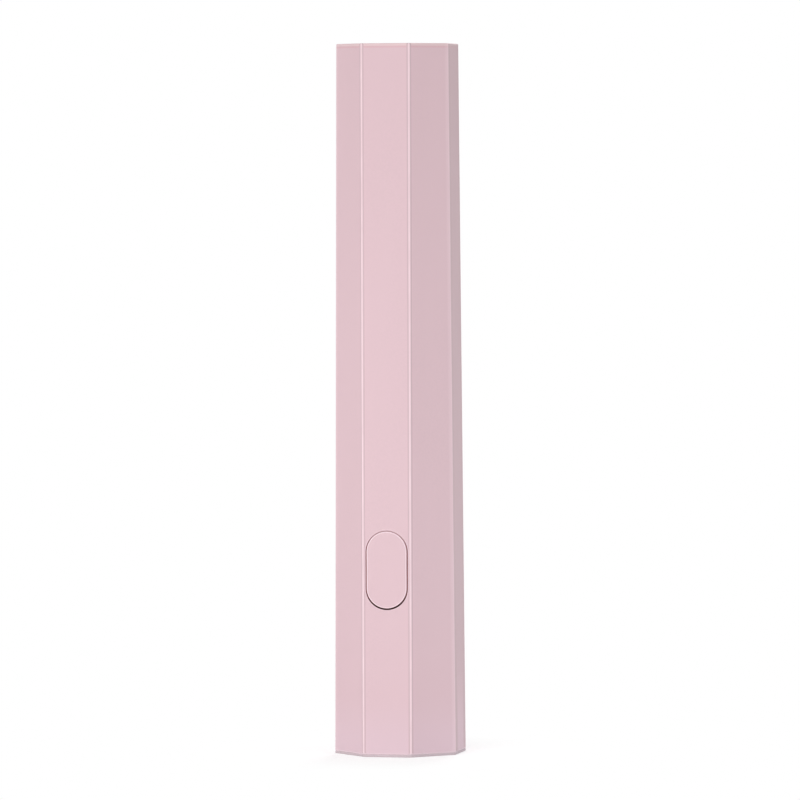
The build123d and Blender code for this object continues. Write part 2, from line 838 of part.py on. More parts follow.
def socket_part(x):
    """Board socket that is open at its top."""
    with BuildPart() as socket:
        with BuildSketch(Plane.XY.offset(plug_top - plug_length)):
            with Locations((x, -lead_depth)):
                Rectangle(socket_width, socket_depth)
        extrude(amount=socket_height)
        with BuildSketch(Plane.XY.offset(plug_top - plug_length + socket_wall)):
            with Locations((x, -lead_depth)):
                Rectangle(socket_width - 2 * socket_wall, socket_depth - 2 * socket_wall)
        extrude(amount=socket_height, mode=Mode.SUBTRACT)
    return socket


def plug_part(x):
    """Lead plug that sits in its socket."""
    with BuildPart() as plug:
        inset = 2 * (socket_wall + plug_clearance)
        with BuildSketch(Plane.XY.offset(plug_top - plug_length + socket_wall)):
            with Locations((x, -lead_depth)):
                Rectangle(socket_width - inset, socket_depth - inset)
        extrude(amount=plug_length - socket_wall)
    return plug


battery_socket = socket_part(connector_x)
battery_plug = plug_part(connector_x)
led_socket = socket_part(-connector_x)
led_plug = plug_part(-connector_x)


def bend_radii(points):
    """The widest arc that each corner of a route leaves room for."""
    radii = []
    for before, corner, after in zip(points, points[1:], points[2:]):
        run_in = Vector(*corner) - Vector(*before)
        run_out = Vector(*after) - Vector(*corner)
        half_turn = radians(run_in.get_angle(run_out)) / 2
        radii.append(lead_arc_share * min(run_in.length, run_out.length) / tan(half_turn))
    return radii


def lead_part(name, points, tight=None):
    """Insulated lead along straight runs joined by tangent arcs."""
    radii = bend_radii(points)
    if tight:
        radii[-1] = tight
    print(name, "radii", [round(radius, 1) for radius in radii])
    with BuildPart() as lead:
        with BuildLine() as route:
            FilletPolyline(*points, radius=radii)
        with BuildSketch(Plane(origin=route.line @ 0, z_dir=route.line % 0)):
            Circle(lead_radius)
        sweep()
    return lead


def lamp_route(plug_x, angle):
    """From the lamp plug, up a corner of the bore, over the edge of the round board to its pad."""
    corner_x, corner_y = polar(lead_circle, angle)
    pad_x, pad_y = polar(led_screw_circle, angle)
    pad_z = led_board_top + lead_radius + solder_lift
    return [
        (plug_x, -lead_depth, plug_top),
        (plug_x, -lead_depth, plug_top + lead_exit),
        (corner_x, corner_y, bulkhead_under - lead_exit),
        (corner_x, corner_y, pad_z),
        (pad_x, pad_y, pad_z),
    ]


led_lead_red = lead_part(
    "led_lead_red", lamp_route(-connector_x + lead_pitch / 2, red_lead_angle), lead_turn
)
led_lead_black = lead_part(
    "led_lead_black", lamp_route(-connector_x - lead_pitch / 2, black_lead_angle), lead_turn
)
strip_face = strip_depth + tab_thickness + lead_radius + solder_lift
battery_lead_red = lead_part(
    "battery_lead_red",
    [
        (connector_x - lead_pitch / 2, -lead_depth, plug_top),
        (connector_x - lead_pitch / 2, -lead_depth, plug_top + lead_exit),
        (lead_radius, -strip_face, bulkhead_under - lead_exit),
        (lead_radius, -strip_face, strip_end + tab_width),
    ],
)
battery_lead_black = lead_part(
    "battery_lead_black",
    [
        (negative_spot[0], -lead_depth, plug_top),
        (negative_spot[0], -lead_depth, plug_top + lead_exit),
        (negative_spot[0] + lead_radius, -lead_depth - lead_radius, (plug_top + bulkhead_top) / 2),
        (negative_spot[0], -lead_depth, bulkhead_top - lead_exit),
        (negative_spot[0], -lead_depth, bulkhead_top),
    ],
)


def chip_part(height):
    """Chip body on the back of the board."""
    with BuildPart() as chip:
        with BuildSketch(Plane.XZ.offset(-board_back - chip_lift)):
            with Locations((0, height)):
                Rectangle(chip_width, chip_length)
        extrude(amount=-chip_height)
        chamfer(chip.faces().sort_by(Axis.Y)[-1].edges(), chip_bevel)
    return chip


charge_chip = chip_part(charge_chip_z)
driver_chip = chip_part(driver_chip_z)

with BuildPart() as chip_pins:
    for chip_z in (charge_chip_z, driver_chip_z):
        for number in range(4):
            pin_z = chip_z + (number - 1.5) * pin_pitch - pin_width / 2
            for side in (-1, 1):
                root = side * chip_width / 2
                toe = side * (chip_width / 2 + pin_reach)
                knee = side * (chip_width / 2 + pin_thickness)
                with BuildSketch(Plane.XY.offset(pin_z)):
                    with BuildLine():
                        Polyline(
                            (root, board_back),
                            (toe, board_back),
                            (toe, board_back + pin_thickness),
                            (knee, board_back + pin_thickness),
                            (knee, board_back + chip_height / 2),
                            (root, board_back + chip_height / 2),
                            close=True,
                        )
                    make_face()
                extrude(amount=pin_width)

with BuildPart() as inductor:
    with BuildSketch(Plane.XZ.offset(-board_back)):
        with Locations((0, inductor_z)):
            RectangleRounded(inductor_side, inductor_side, inductor_round)
    extrude(amount=-inductor_height)


def small_parts(spots, size):
    """Surface-mounted parts on the back of the board, alike and upright."""
    with BuildPart() as group:
        for x, z in spots:
            with Locations((x, board_back + size[2] / 2, z - size[1] / 2)):
                centred_box(size[0], size[2], size[1])
    return group


capacitors = small_parts(capacitor_spots, capacitor_size)
resistors = small_parts(resistor_spots, resistor_size)

with BuildPart() as indicator_led:
    with Locations((indicator_x, board_front - indicator_size[2] / 2, indicator_z)):
        centred_box(indicator_size[0], indicator_size[2], indicator_size[1])

pieces = {
    "body_shell": body_shell,
    "tail_cap": tail_cap,
    "cap_screws": cap_screws,
    "charge_light_pipe": charge_light_pipe,
    "button_cap": button_cap,
    "lens": lens,
    "lens_gasket": lens_gasket,
    "reflector": reflector,
    "led_board": led_board,
    "led_board_screws": led_board_screws,
    "led_package": led_package,
    "led_dome": led_dome,
    "thermal_pad": thermal_pad,
    "heat_sink": heat_sink,
    "led_lead_red": led_lead_red,
    "led_lead_black": led_lead_black,
    "led_plug": led_plug,
    "led_socket": led_socket,
    "chassis": chassis,
    "cell_can": cell_can,
    "cell_core": cell_core,
    "cell_cap": cell_cap,
    "cell_sleeve": cell_sleeve,
    "cell_insulator": cell_insulator,
    "cell_foam": cell_foam,
    "positive_tab": positive_tab,
    "negative_tab": negative_tab,
    "battery_lead_red": battery_lead_red,
    "battery_lead_black": battery_lead_black,
    "battery_plug": battery_plug,
    "battery_socket": battery_socket,
    "main_board": main_board,
    "board_screws": board_screws,
    "usb_shell": usb_shell,
    "usb_tongue": usb_tongue,
    "switch_housing": switch_housing,
    "switch_cover": switch_cover,
    "switch_plunger": switch_plunger,
    "switch_dome": switch_dome,
    "switch_legs": switch_legs,
    "charge_chip": charge_chip,
    "driver_chip": driver_chip,
    "chip_pins": chip_pins,
    "inductor": inductor,
    "capacitors": capacitors,
    "resistors": resistors,
    "indicator_led": indicator_led,
}
for label, piece in pieces.items():
    piece.part.label = label
    export_step(piece.part, f"parts/{label}.step")
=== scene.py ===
import math

import bmesh
import bpy
from mathutils import Euler, Matrix, Vector


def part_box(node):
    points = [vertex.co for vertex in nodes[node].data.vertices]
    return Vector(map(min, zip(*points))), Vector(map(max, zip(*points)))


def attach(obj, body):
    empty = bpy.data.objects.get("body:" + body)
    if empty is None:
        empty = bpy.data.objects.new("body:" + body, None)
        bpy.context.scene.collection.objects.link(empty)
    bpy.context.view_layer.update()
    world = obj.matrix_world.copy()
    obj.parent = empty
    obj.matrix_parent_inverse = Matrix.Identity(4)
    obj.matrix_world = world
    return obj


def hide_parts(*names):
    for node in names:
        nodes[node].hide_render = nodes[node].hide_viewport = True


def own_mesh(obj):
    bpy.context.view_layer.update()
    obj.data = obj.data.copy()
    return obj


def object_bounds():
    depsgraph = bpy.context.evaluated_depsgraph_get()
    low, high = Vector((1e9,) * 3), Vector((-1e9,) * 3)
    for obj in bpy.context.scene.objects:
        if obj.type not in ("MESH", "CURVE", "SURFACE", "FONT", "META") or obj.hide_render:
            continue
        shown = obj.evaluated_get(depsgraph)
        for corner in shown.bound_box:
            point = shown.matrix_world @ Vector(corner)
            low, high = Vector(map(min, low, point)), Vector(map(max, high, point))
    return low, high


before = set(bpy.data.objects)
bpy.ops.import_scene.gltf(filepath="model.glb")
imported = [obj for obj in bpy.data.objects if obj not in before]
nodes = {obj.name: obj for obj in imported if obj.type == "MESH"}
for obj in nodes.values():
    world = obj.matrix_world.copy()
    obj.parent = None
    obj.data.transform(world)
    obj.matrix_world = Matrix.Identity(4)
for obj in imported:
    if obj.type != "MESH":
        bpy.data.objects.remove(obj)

# Handheld nail lamp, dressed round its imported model. Lengths are metres, as in the frame, and
# the long axis is Z with the button towards -Y.

cad_low, cad_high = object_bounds()
MM = 0.001

# Camera, worked out from the facet edges of the photograph
CAMERA_DISTANCE = 1.4343
CAMERA_HEIGHT = 0.1274
CAMERA_AZIMUTH = math.radians(12.47)
CAMERA_PITCH = math.radians(2.1042)
CAMERA_ROLL = math.radians(-0.268)
FOCAL_PIXELS = 6779.0
FRAME_PIXELS = 800
CENTRE_PIXEL_X = 398.99
SENSOR_WIDTH = 36.0
CLIP_RANGE = (0.01, 100.0)

# Outer skin and button, for finishes that follow their edges. The front reaches from the middle to
# FRONT_REACH along X, and the sides start at SIDE_START. A face whose normal has more than SQUARE_ON
# along X is a side facet. The opening's walls reach WALL_REACH back from the front facet, and its
# painted shadow and painted reddish bounce light reach OPENING_REACH outwards.
TOTAL_HEIGHT = cad_high[2]
BASE_APOTHEM = 13.05 * MM
TOP_APOTHEM = 12.08 * MM
FACET_HALF = 5.15 * MM
FRONT_REACH = 7 * MM
SIDE_START = 10 * MM
SQUARE_ON = 0.95
SEAM_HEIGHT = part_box("body_shell")[0][2]
BUTTON_WIDTH = 8.68 * MM
BUTTON_LENGTH = 16.28 * MM
BUTTON_GAP = 0.17 * MM
WALL_REACH = 3.0 * MM
OPENING_REACH = 0.2 * MM
BUTTON_Z = (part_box("button_cap")[0][2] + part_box("button_cap")[1][2]) / 2

# Bands of painted highlight, shade and light, from and to a distance from the edge, seam, rim or outline
# that they follow. SIDE_RISE and FOOT_HEIGHT are heights above the base, GAP_DEPTH is behind the front
# facet, and RIM_SLOPE is how squarely the rim faces up. The shell's and the button's shadow reaches are
# how far the painted shadow along the button's gap reaches, and a fade is the soft margin of a band.
EDGE_HIGHLIGHT = (0.10 * MM, 0.20 * MM)
EDGE_SHADE_BAND = (0.22 * MM, 0.34 * MM)
EDGE_FADE = 0.09 * MM
SIDE_BORDER = (0.9 * MM, 2.2 * MM)
SIDE_RISE = (8 * MM, 24 * MM)
BESIDE_HIGHLIGHT_BAND = (0.3 * MM, 0.8 * MM)
SEAM_BEVEL = (0.02 * MM, 0.24 * MM)
SEAM_GROOVE = (-0.32 * MM, -0.06 * MM)
RIM_HIGHLIGHT_BAND = (0.48 * MM, 0.56 * MM)
RIM_SHADE_BAND = (0.60 * MM, 0.92 * MM)
RIM_SLOPE = (0.85, 0.95)
FOOT_HEIGHT = 14 * MM
OPENING_BEVEL = (0.08 * MM, 0.22 * MM)
BUTTON_RIM = (0.10 * MM, 0.26 * MM)
GAP_DEPTH = (0.06 * MM, 0.30 * MM)
SHELL_SHADOW_REACH = 0.14 * MM
BUTTON_SHADOW_REACH = 0.10 * MM
GAP_SHADOW_FADE = 0.06 * MM
BEVEL_FADE = 0.04 * MM
FINE_FADE = 0.05 * MM

# Where most of a noise's values lie, and the detail of turned and rolled lines
NOISE_RANGE = (0.3, 0.7)
RING_DETAIL = 3.0

# Thickness of the cell's wound layers, and how clear plastic bends light
LAYER_PITCH = 0.25 * MM
CLEAR_IOR = 1.49

# Strengths of painted highlight and shade bands, 0 to 1, and what is left of the pink in painted shade
# lines
EDGE_SHADE = 0.88
SIDE_HIGHLIGHT = 0.5
BORDER_SHADE = 0.68
MIDDLE_SHADE = 0.5
BESIDE_HIGHLIGHT = 0.18
SEAM_BEVEL_HIGHLIGHT = 0.8
OPENING_HIGHLIGHT = 0.35
UPPER_SHADOW = 0.1

# Light levels: the world as matt surfaces see it, at the horizon and from SKY_RISE upwards. The low
# lamps aim at LOW_LAMP_HEIGHT.
HORIZON_LIGHT = 0.0
SKY_LIGHT = 0.58
SKY_RISE = 0.6
BACKGROUND_WHITE = 1.0
FLOOR_BOUNCE = 0.9
LOW_LAMP_HEIGHT = 0.028
NEUTRAL = (1.0, 1.0, 1.0)
LOW_LAMP_TINT = (0.90, 1.0, 1.07)

# The floor has a hole hidden under the base, so that the underside is lit in views from below. Where
# it keeps the shadow, it is grey and glows a little.
FLOOR_SIDES = 8
FLOOR_DROP = 0.02 * MM
FLOOR_ROUGHNESS = 0.9
FLOOR_LAP = 0.2 * MM
FLOOR_HOLE = BASE_APOTHEM - FLOOR_LAP
FLOOR_REACH = 20.0
SHADOW_START = 13.0 * MM
SHADOW_END = 45.0 * MM
SHADOW_GREY = 0.6
SHADOW_GLOW = 0.5

# Sharp edges of the small pieces turn by more than this, and SQUARE has the corners of a square
SHARP_ANGLE = math.radians(30)
SQUARE = ((-1, -1), (1, -1), (1, 1), (-1, 1))

# Tail screws: pan head with a cross recess, and a thread. The recess narrows to shares of its length
# and width, and each screw is turned by its own angle.
SCREW_SIDES = 40
HEAD_RADIUS = 1.85 * MM
HEAD_HEIGHT = 1.4 * MM
HEAD_ROUND = 0.35 * MM
ROUND_STEPS = 5
CROWN_RISE = 0.1 * MM
CROWN_SHARES = (0.4, 0.7, 1.0)
RECESS_LENGTH = 2.1 * MM
RECESS_WIDTH = 0.5 * MM
RECESS_DEPTH = 0.8 * MM
RECESS_ABOVE = 0.2 * MM
RECESS_FLOOR = (0.35, 0.6)
SCREW_TURNS = (0.5, 1.2)
SHANK_RADIUS = 1.0 * MM
THREAD_CORE = 0.74 * MM
THREAD_PITCH = 0.9 * MM
THREAD_STEP = 0.1 * MM
THREAD_STEEPNESS = 2.4
POINT_SHARE = 0.5
POINT_LENGTH = 1.0 * MM
MERGE_REACH = 0.001 * MM

# Contacts of the charging port
TONGUE_THICKNESS = 0.7 * MM
CONTACTS_A_SIDE = 12
CONTACT_PITCH = 0.5 * MM
CONTACT_WIDTH = 0.27 * MM
CONTACT_START = 0.35 * MM
CONTACT_END = 4.7 * MM
CONTACT_SINK = 0.02 * MM
CONTACT_RISE = 0.03 * MM
CONTACT_ROUND_STEPS = 4

# Chips of the emitter, in a silvered field. Each step is a share of the side, and a height.
FIELD_EDGE = (1.05 * MM, 1.10 * MM)
DIE_SIDE = 0.62 * MM
DIE_SPACING = 0.78 * MM
DIE_STEPS = ((1.0, 0.0), (1.0, 0.08 * MM), (0.84, 0.10 * MM), (0.84, 0.13 * MM))

# Snap dome of the push switch, a thin cap on four feet. Its rings lie at shares of its reach, and
# between the feet it is cut back by a share.
DOME_SIDES = 64
DOME_THICKNESS = 0.12 * MM
DOME_SHARES = (0.1, 0.25, 0.45, 0.65, 0.85, 1.0)
DOME_NOTCH = 0.14

# Colours are linear
PINK = (0.790, 0.570, 0.615)
# All colours from here on but CAP_PINK are painted highlight, shade and light
PINK_HIGHLIGHT = (0.985, 0.765, 0.815)
CAP_PINK = (0.690, 0.560, 0.600)
SIDE_SHADE_PINK = (0.650, 0.469, 0.494)
GAP_WALL_BOUNCE = (0.85, 0.15, 0.11)
GAP_SHADOW_COLOUR = (0.14, 0.03, 0.025)
SEAM_SHADE = (0.66, 0.56, 0.59)
SEAM_HIGHLIGHT = (0.900, 0.745, 0.795)
RIM_HIGHLIGHT = (0.860, 0.643, 0.662)
RIM_SHADE = (0.790, 0.525, 0.563)
FOOT_LIGHT = (0.818, 0.613, 0.677)


def colour(rgb):
    """A colour socket's value."""
    return (*rgb, 1.0)


def scaled(rgb, factor):
    """A colour made darker or lighter."""
    return tuple(min(channel * factor, 1.0) for channel in rgb)


class Nodes:
    """A node tree, with short ways to add nodes."""

    def __init__(self, tree):
        self.tree = tree

    def node(self, kind, inputs=None, **settings):
        """Adds a node with its settings, and values or links for its inputs."""
        made = self.tree.nodes.new(kind)
        for key, value in settings.items():
            setattr(made, key, value)
        for key, value in (inputs or {}).items():
            self.feed(made.inputs[key], value)
        return made

    def feed(self, socket, value):
        """Links a socket, or sets a plain number or colour."""
        if isinstance(value, bpy.types.NodeSocket):
            self.tree.links.new(value, socket)
        elif isinstance(value, tuple) and socket.type == "RGBA":
            socket.default_value = colour(value)
        else:
            socket.default_value = value

    def math(self, operation, first, second=0.0):
        """One step of arithmetic on two sockets or numbers."""
        return self.node("ShaderNodeMath", {0: first, 1: second}, operation=operation).outputs[0]

    def product(self, first, *factors):
        """A socket multiplied by each factor in turn."""
        for factor in factors:
            first = self.math("MULTIPLY", first, factor)
        return first

    def split(self, vector):
        """X, Y and Z of a vector."""
        return tuple(self.node("ShaderNodeSeparateXYZ", {0: vector}).outputs)

    def spread(self, source, start, end, low=0.0, high=1.0):
        """A number that goes from low to high as the source goes from start to end."""
        ends = {"From Min": start, "From Max": end, "To Min": low, "To Max": high}
        made = self.node("ShaderNodeMapRange", {"Value": source, **ends}, interpolation_type="SMOOTHSTEP")
        return made.outputs["Result"]

    def fall(self, source, start, end):
        """A number that falls from one to nothing as the source goes from start to end."""
        return self.spread(source, start, end, 1.0, 0.0)

    def band(self, source, start, end, soft):
        """One between two distances, fading to nothing over a soft margin at each side."""
        return self.product(self.spread(source, start - soft, start), self.fall(source, end, end + soft))

    def shows_white(self):
        """One for rays that show the background itself: camera, glossy and transmission rays."""
        rays = self.node("ShaderNodeLightPath").outputs
        first = self.math("MAXIMUM", rays["Is Camera Ray"], rays["Is Glossy Ray"])
        return self.math("MAXIMUM", first, rays["Is Transmission Ray"])


class Look(Nodes):
    """A material's node tree, with the patterns and measures that the finishes share."""

    def __init__(self, name):
        self.material = bpy.data.materials.new(name)
        self.material.use_nodes = True
        super().__init__(self.material.node_tree)
        self.shader = self.tree.nodes["Principled BSDF"]
        self.output = self.tree.nodes["Material Output"]
        self.place = self.node("ShaderNodeTexCoord").outputs["Object"]

    def set(self, **values):
        """Values for the shader's own sockets, by their names."""
        for key, value in values.items():
            self.feed(self.shader.inputs[key.replace("_", " ")], value)

    def axes(self):
        """X, Y and Z of the shaded point."""
        return self.split(self.place)

    def height(self):
        """Height of the shaded point above the base."""
        return self.axes()[2]

    def facing(self, axis):
        """How squarely the surface faces along an axis, from 0 to 1."""
        normal = self.node("ShaderNodeTexCoord").outputs["Normal"]
        return self.math("ABSOLUTE", self.split(normal)["XYZ".index(axis)])

    def distance(self, across, along):
        """Straight distance, from its parts in two directions."""
        squares = self.math("ADD", self.product(across, across), self.product(along, along))
        return self.math("SQRT", squares)

    def radius(self):
        """Distance from the wand's axis."""
        x, y, _ = self.axes()
        return self.distance(x, y)

    def noise(self, size, detail=2.0, roughness=0.5, stretch=(1.0, 1.0, 1.0)):
        """Noise whose features are about size across, and longer where stretch is under 1."""
        mapping = self.node("ShaderNodeMapping", {"Vector": self.place, "Scale": stretch})
        texture = {"Scale": 1.0 / size, "Detail": detail, "Roughness": roughness}
        texture["Vector"] = mapping.outputs["Vector"]
        return self.node("ShaderNodeTexNoise", texture).outputs["Fac"]

    def rings(self, distance, size):
        """Noise in one dimension, for turned rings or rolled bands."""
        texture = {"W": distance, "Scale": 1.0 / size, "Detail": RING_DETAIL}
        return self.node("ShaderNodeTexNoise", texture, noise_dimensions="1D").outputs["Fac"]

    def cells(self, size, feature="F1"):
        """Cell pattern for grain, pores and speckle."""
        texture = {"Vector": self.place, "Scale": 1.0 / size}
        return self.node("ShaderNodeTexVoronoi", texture, feature=feature).outputs["Distance"]

    def vary(self, noise, low=0.0, high=1.0):
        """A number that goes from low to high over the middle range of a noise."""
        return self.spread(noise, *NOISE_RANGE, low, high)

    def mix(self, factor, first, second):
        """Mixes two colours."""
        made = self.node("ShaderNodeMix", {"Factor": factor, 6: first, 7: second}, data_type="RGBA")
        return made.outputs[2]

    def blend(self, factor, first, second):
        """Mixes two shader nodes."""
        return self.node("ShaderNodeMixShader", {0: factor, 1: first.outputs[0], 2: second.outputs[0]})

    def bump(self, *heights):
        """Stacks bumps, each a height socket and its depth, onto the shader's normal."""
        normal = None
        for source, depth in heights:
            made = self.node("ShaderNodeBump", {"Distance": depth, "Height": source})
            if normal:
                self.feed(made.inputs["Normal"], normal)
            normal = made.outputs["Normal"]
        self.feed(self.shader.inputs["Normal"], normal)

    def skin_distances(self):
        """Distance to the nearest upright edge of the outer skin, and depth behind its front facet."""
        x, y, z = self.axes()
        taper = (BASE_APOTHEM - TOP_APOTHEM) / TOTAL_HEIGHT
        apothem = self.math("SUBTRACT", BASE_APOTHEM, self.product(z, taper))
        wide = self.math("ABSOLUTE", x)
        deep = self.math("ABSOLUTE", y)
        upright = self.math("SUBTRACT", apothem, self.math("MAXIMUM", wide, deep))
        corner = self.math("ADD", apothem, FACET_HALF)
        beyond = self.math("SUBTRACT", corner, self.math("ADD", wide, deep))
        slanting = self.product(beyond, math.sqrt(0.5))
        return self.math("MAXIMUM", upright, slanting), self.math("ADD", apothem, y)

    def outside_slot(self, width):
        """Distance outwards, in the plane of the front facet, from a rounded slot round the button."""
        x, _, z = self.axes()
        straight = (BUTTON_LENGTH - BUTTON_WIDTH) / 2
        along = self.math("ABSOLUTE", self.math("SUBTRACT", z, BUTTON_Z))
        past = self.math("MAXIMUM", self.math("SUBTRACT", along, straight), 0.0)
        return self.math("SUBTRACT", self.distance(x, past), width / 2)


# Finishes

def pink_surface(look, base):
    """Satin plastic of the outer pieces, with flow clouds, fine texture, and the strength of painted
    highlights.
    """
    clouds = look.noise(14 * MM, detail=3.0, stretch=(1.0, 1.0, 0.3))
    fine = look.noise(0.5 * MM, detail=3.0, roughness=0.6)
    grain = look.noise(0.16 * MM, detail=1.0)
    # How strong the painted edge highlights are, varying from place to place
    highlight_strength = look.vary(look.noise(5 * MM), 0.75, 1.0)
    flow = look.mix(look.vary(clouds), scaled(base, 0.985), scaled(base, 1.015))
    pink = look.mix(look.spread(fine, 0.35, 0.65), flow, scaled(base, 1.01))
    look.set(Roughness=look.vary(fine, 0.52, 0.62), Specular_IOR_Level=0.4)
    look.bump((clouds, 0.03 * MM), (grain, 0.004 * MM))
    return pink, highlight_strength


def edge_lines(look, pink, highlight_strength, edge):
    """Painted highlights along the upright edges, weaker on the side facets, and painted shade lines beside
    those next to the button.
    """
    x, _, _ = look.axes()
    wide = look.math("ABSOLUTE", x)
    beside = look.fall(wide, FRONT_REACH, SIDE_START)
    # Painted shade lines beside the edges, and painted highlight on the edges themselves
    painted_shade = look.product(look.band(edge, *EDGE_SHADE_BAND, EDGE_FADE), beside)
    highlight_level = look.product(highlight_strength, look.spread(wide, FRONT_REACH, SIDE_START, 1.0, SIDE_HIGHLIGHT))
    pale = look.product(look.fall(edge, *EDGE_HIGHLIGHT), highlight_level)
    shaded = side_shade(look, edge, wide, pink)
    return look.mix(pale, look.mix(painted_shade, shaded, scaled(PINK, EDGE_SHADE)), PINK_HIGHLIGHT)


def side_shade(look, edge, wide, pink):
    """Painted shade on the side facets, strongest at their edges and over the whole facet above the foot; a
    painted highlight band beside the edges of the facets next to them.
    """
    side = look.math("GREATER_THAN", look.facing("X"), SQUARE_ON)
    # Painted shade on the side facets
    border = look.spread(edge, *SIDE_BORDER, BORDER_SHADE, 0.0)
    middle = look.spread(look.height(), *SIDE_RISE, 0.0, MIDDLE_SHADE)
    painted_shade = look.product(look.math("MAXIMUM", border, middle), side)
    # Painted highlight band beside the edges, on the facets next to the sides
    away = look.math("SUBTRACT", 1.0, side)
    near = look.product(look.spread(wide, FRONT_REACH, SIDE_START), away)
    pale = look.product(look.spread(edge, *BESIDE_HIGHLIGHT_BAND, BESIDE_HIGHLIGHT, 0.0), near)
    return look.mix(painted_shade, look.mix(pale, pink, PINK_HIGHLIGHT), SIDE_SHADE_PINK)


def seam_lines(look, pink):
    """Painted grey shade in the groove of the seam, and a painted highlight along its upper bevel."""
    above = look.math("SUBTRACT", look.height(), SEAM_HEIGHT)
    # Painted highlight along the upper bevel, and painted shade in the groove below it
    bevel = look.band(above, *SEAM_BEVEL, BEVEL_FADE)
    groove = look.band(above, *SEAM_GROOVE, FINE_FADE)
    paler = look.mix(look.product(bevel, SEAM_BEVEL_HIGHLIGHT), pink, SEAM_HIGHLIGHT)
    return look.mix(groove, paler, SEAM_SHADE)


def rim_lines(look, pink):
    """Painted highlight on the round of the top rim, over one painted shade line."""
    below = look.math("SUBTRACT", TOTAL_HEIGHT, look.height())
    slope = look.fall(look.facing("Z"), *RIM_SLOPE)
    # Painted highlight on the rim's round, and a painted shade line below it
    pale = look.product(look.fall(below, *RIM_HIGHLIGHT_BAND), slope)
    painted_shade = look.band(below, *RIM_SHADE_BAND, FINE_FADE)
    return look.mix(painted_shade, look.mix(pale, pink, RIM_HIGHLIGHT), RIM_SHADE)


def shell_pink(name):
    """Casing: painted highlights and shade at its edges, seam and rim, painted paler light on the lilac
    foot, and a painted highlight on the edge of the button opening with painted shade and bounce light in
    its walls.
    """
    look = Look(name)
    pink, highlight_strength = pink_surface(look, PINK)
    edge, depth = look.skin_distances()
    # Painted paler, lilac light on the lower end, fading out by FOOT_HEIGHT
    lit_foot = look.mix(look.fall(look.height(), 0.0, FOOT_HEIGHT), rim_lines(look, pink), FOOT_LIGHT)
    finished = seam_lines(look, edge_lines(look, lit_foot, highlight_strength, edge))
    outside = look.outside_slot(BUTTON_WIDTH + 2 * BUTTON_GAP)
    front = look.math("LESS_THAN", depth, WALL_REACH)
    # Painted highlight on the edge of the button opening
    bevel = look.product(look.band(outside, *OPENING_BEVEL, FINE_FADE), front)
    with_highlight = look.mix(look.product(bevel, OPENING_HIGHLIGHT), finished, PINK_HIGHLIGHT)
    near = look.product(look.math("LESS_THAN", outside, OPENING_REACH), front)
    look.set(Base_Color=gap_shade(look, with_highlight, depth, outside, SHELL_SHADOW_REACH, near))
    return look.material


def gap_shade(look, skin, depth, away, reach, near):
    """The gap round the button: painted reddish bounce light on its walls and painted shadow along it, most
    at the lower end; both also make it rougher.
    """
    # Painted reddish bounce light on the deep walls of the gap
    deep = look.product(look.spread(depth, *GAP_DEPTH), near)
    height = look.math("SUBTRACT", look.height(), BUTTON_Z)
    low = look.spread(height, -BUTTON_LENGTH / 2, -BUTTON_LENGTH / 4, 1.0, UPPER_SHADOW)
    # Painted shadow along the gap, most at its lower end
    edge = look.fall(away, reach - GAP_SHADOW_FADE, reach)
    dust = look.product(edge, low, near)
    satin = look.shader.inputs["Roughness"].links[0].from_socket
    look.set(Roughness=look.math("MAXIMUM", satin, look.math("MAXIMUM", dust, deep)))
    return look.mix(dust, look.mix(deep, skin, GAP_WALL_BOUNCE), GAP_SHADOW_COLOUR)


def cap_pink(name):
    """Tail cap: a slightly greyer moulding with the lower half of the seam."""
    look = Look(name)
    pink, _ = pink_surface(look, CAP_PINK)
    look.set(Base_Color=seam_lines(look, pink))
    return look.material


def button_pink(name):
    """Button: painted highlight round its rim, and painted shadow and reddish bounce light down its sides.
    """
    look = Look(name)
    pink, highlight_strength = pink_surface(look, PINK)
    _, depth = look.skin_distances()
    inward = look.product(look.outside_slot(BUTTON_WIDTH), -1.0)
    # Painted highlight round the button's rim
    rim = look.product(look.band(inward, *BUTTON_RIM, FINE_FADE), highlight_strength)
    with_highlight = look.mix(rim, pink, PINK_HIGHLIGHT)
    look.set(Base_Color=gap_shade(look, with_highlight, depth, inward, BUTTON_SHADOW_REACH, 1.0))
    return look.material


def clear_plastic(name, roughness, tint):
    """Clear moulding with faint flow lines and a slightly misted skin."""
    look = Look(name)
    flow = look.noise(4 * MM, stretch=(1.0, 1.0, 0.3))
    mist = look.noise(0.4 * MM, detail=3.0, roughness=0.6)
    look.set(
        Base_Color=look.mix(mist, tint, scaled(tint, 0.97)),
        Transmission_Weight=1.0,
        IOR=CLEAR_IOR,
        Roughness=look.vary(mist, roughness, roughness + 0.03),
    )
    look.bump((flow, 0.01 * MM))
    return look.material


def cast_dome(name):
    """Thin clear silicone with a lilac cast, through which the chips show."""
    look = Look(name)
    haze = look.noise(0.5 * MM)
    look.set(
        Base_Color=look.mix(haze, (0.80, 0.78, 0.90), (0.88, 0.86, 0.96)),
        Roughness=look.vary(haze, 0.03, 0.08),
        Alpha=0.18,
    )
    look.bump((haze, 0.004 * MM))
    return look.material


def milky_plastic(name):
    """Frosted light guide, a little paler in its cloudier parts."""
    look = Look(name)
    cloud = look.noise(0.5 * MM, detail=3.0, roughness=0.6)
    frost = look.noise(0.08 * MM, detail=1.0)
    look.set(
        Base_Color=look.mix(cloud, (0.76, 0.78, 0.78), (0.88, 0.89, 0.88)),
        Roughness=look.vary(frost, 0.35, 0.5),
        Transmission_Weight=0.35,
        IOR=CLEAR_IOR,
    )
    look.bump((frost, 0.004 * MM))
    return look.material


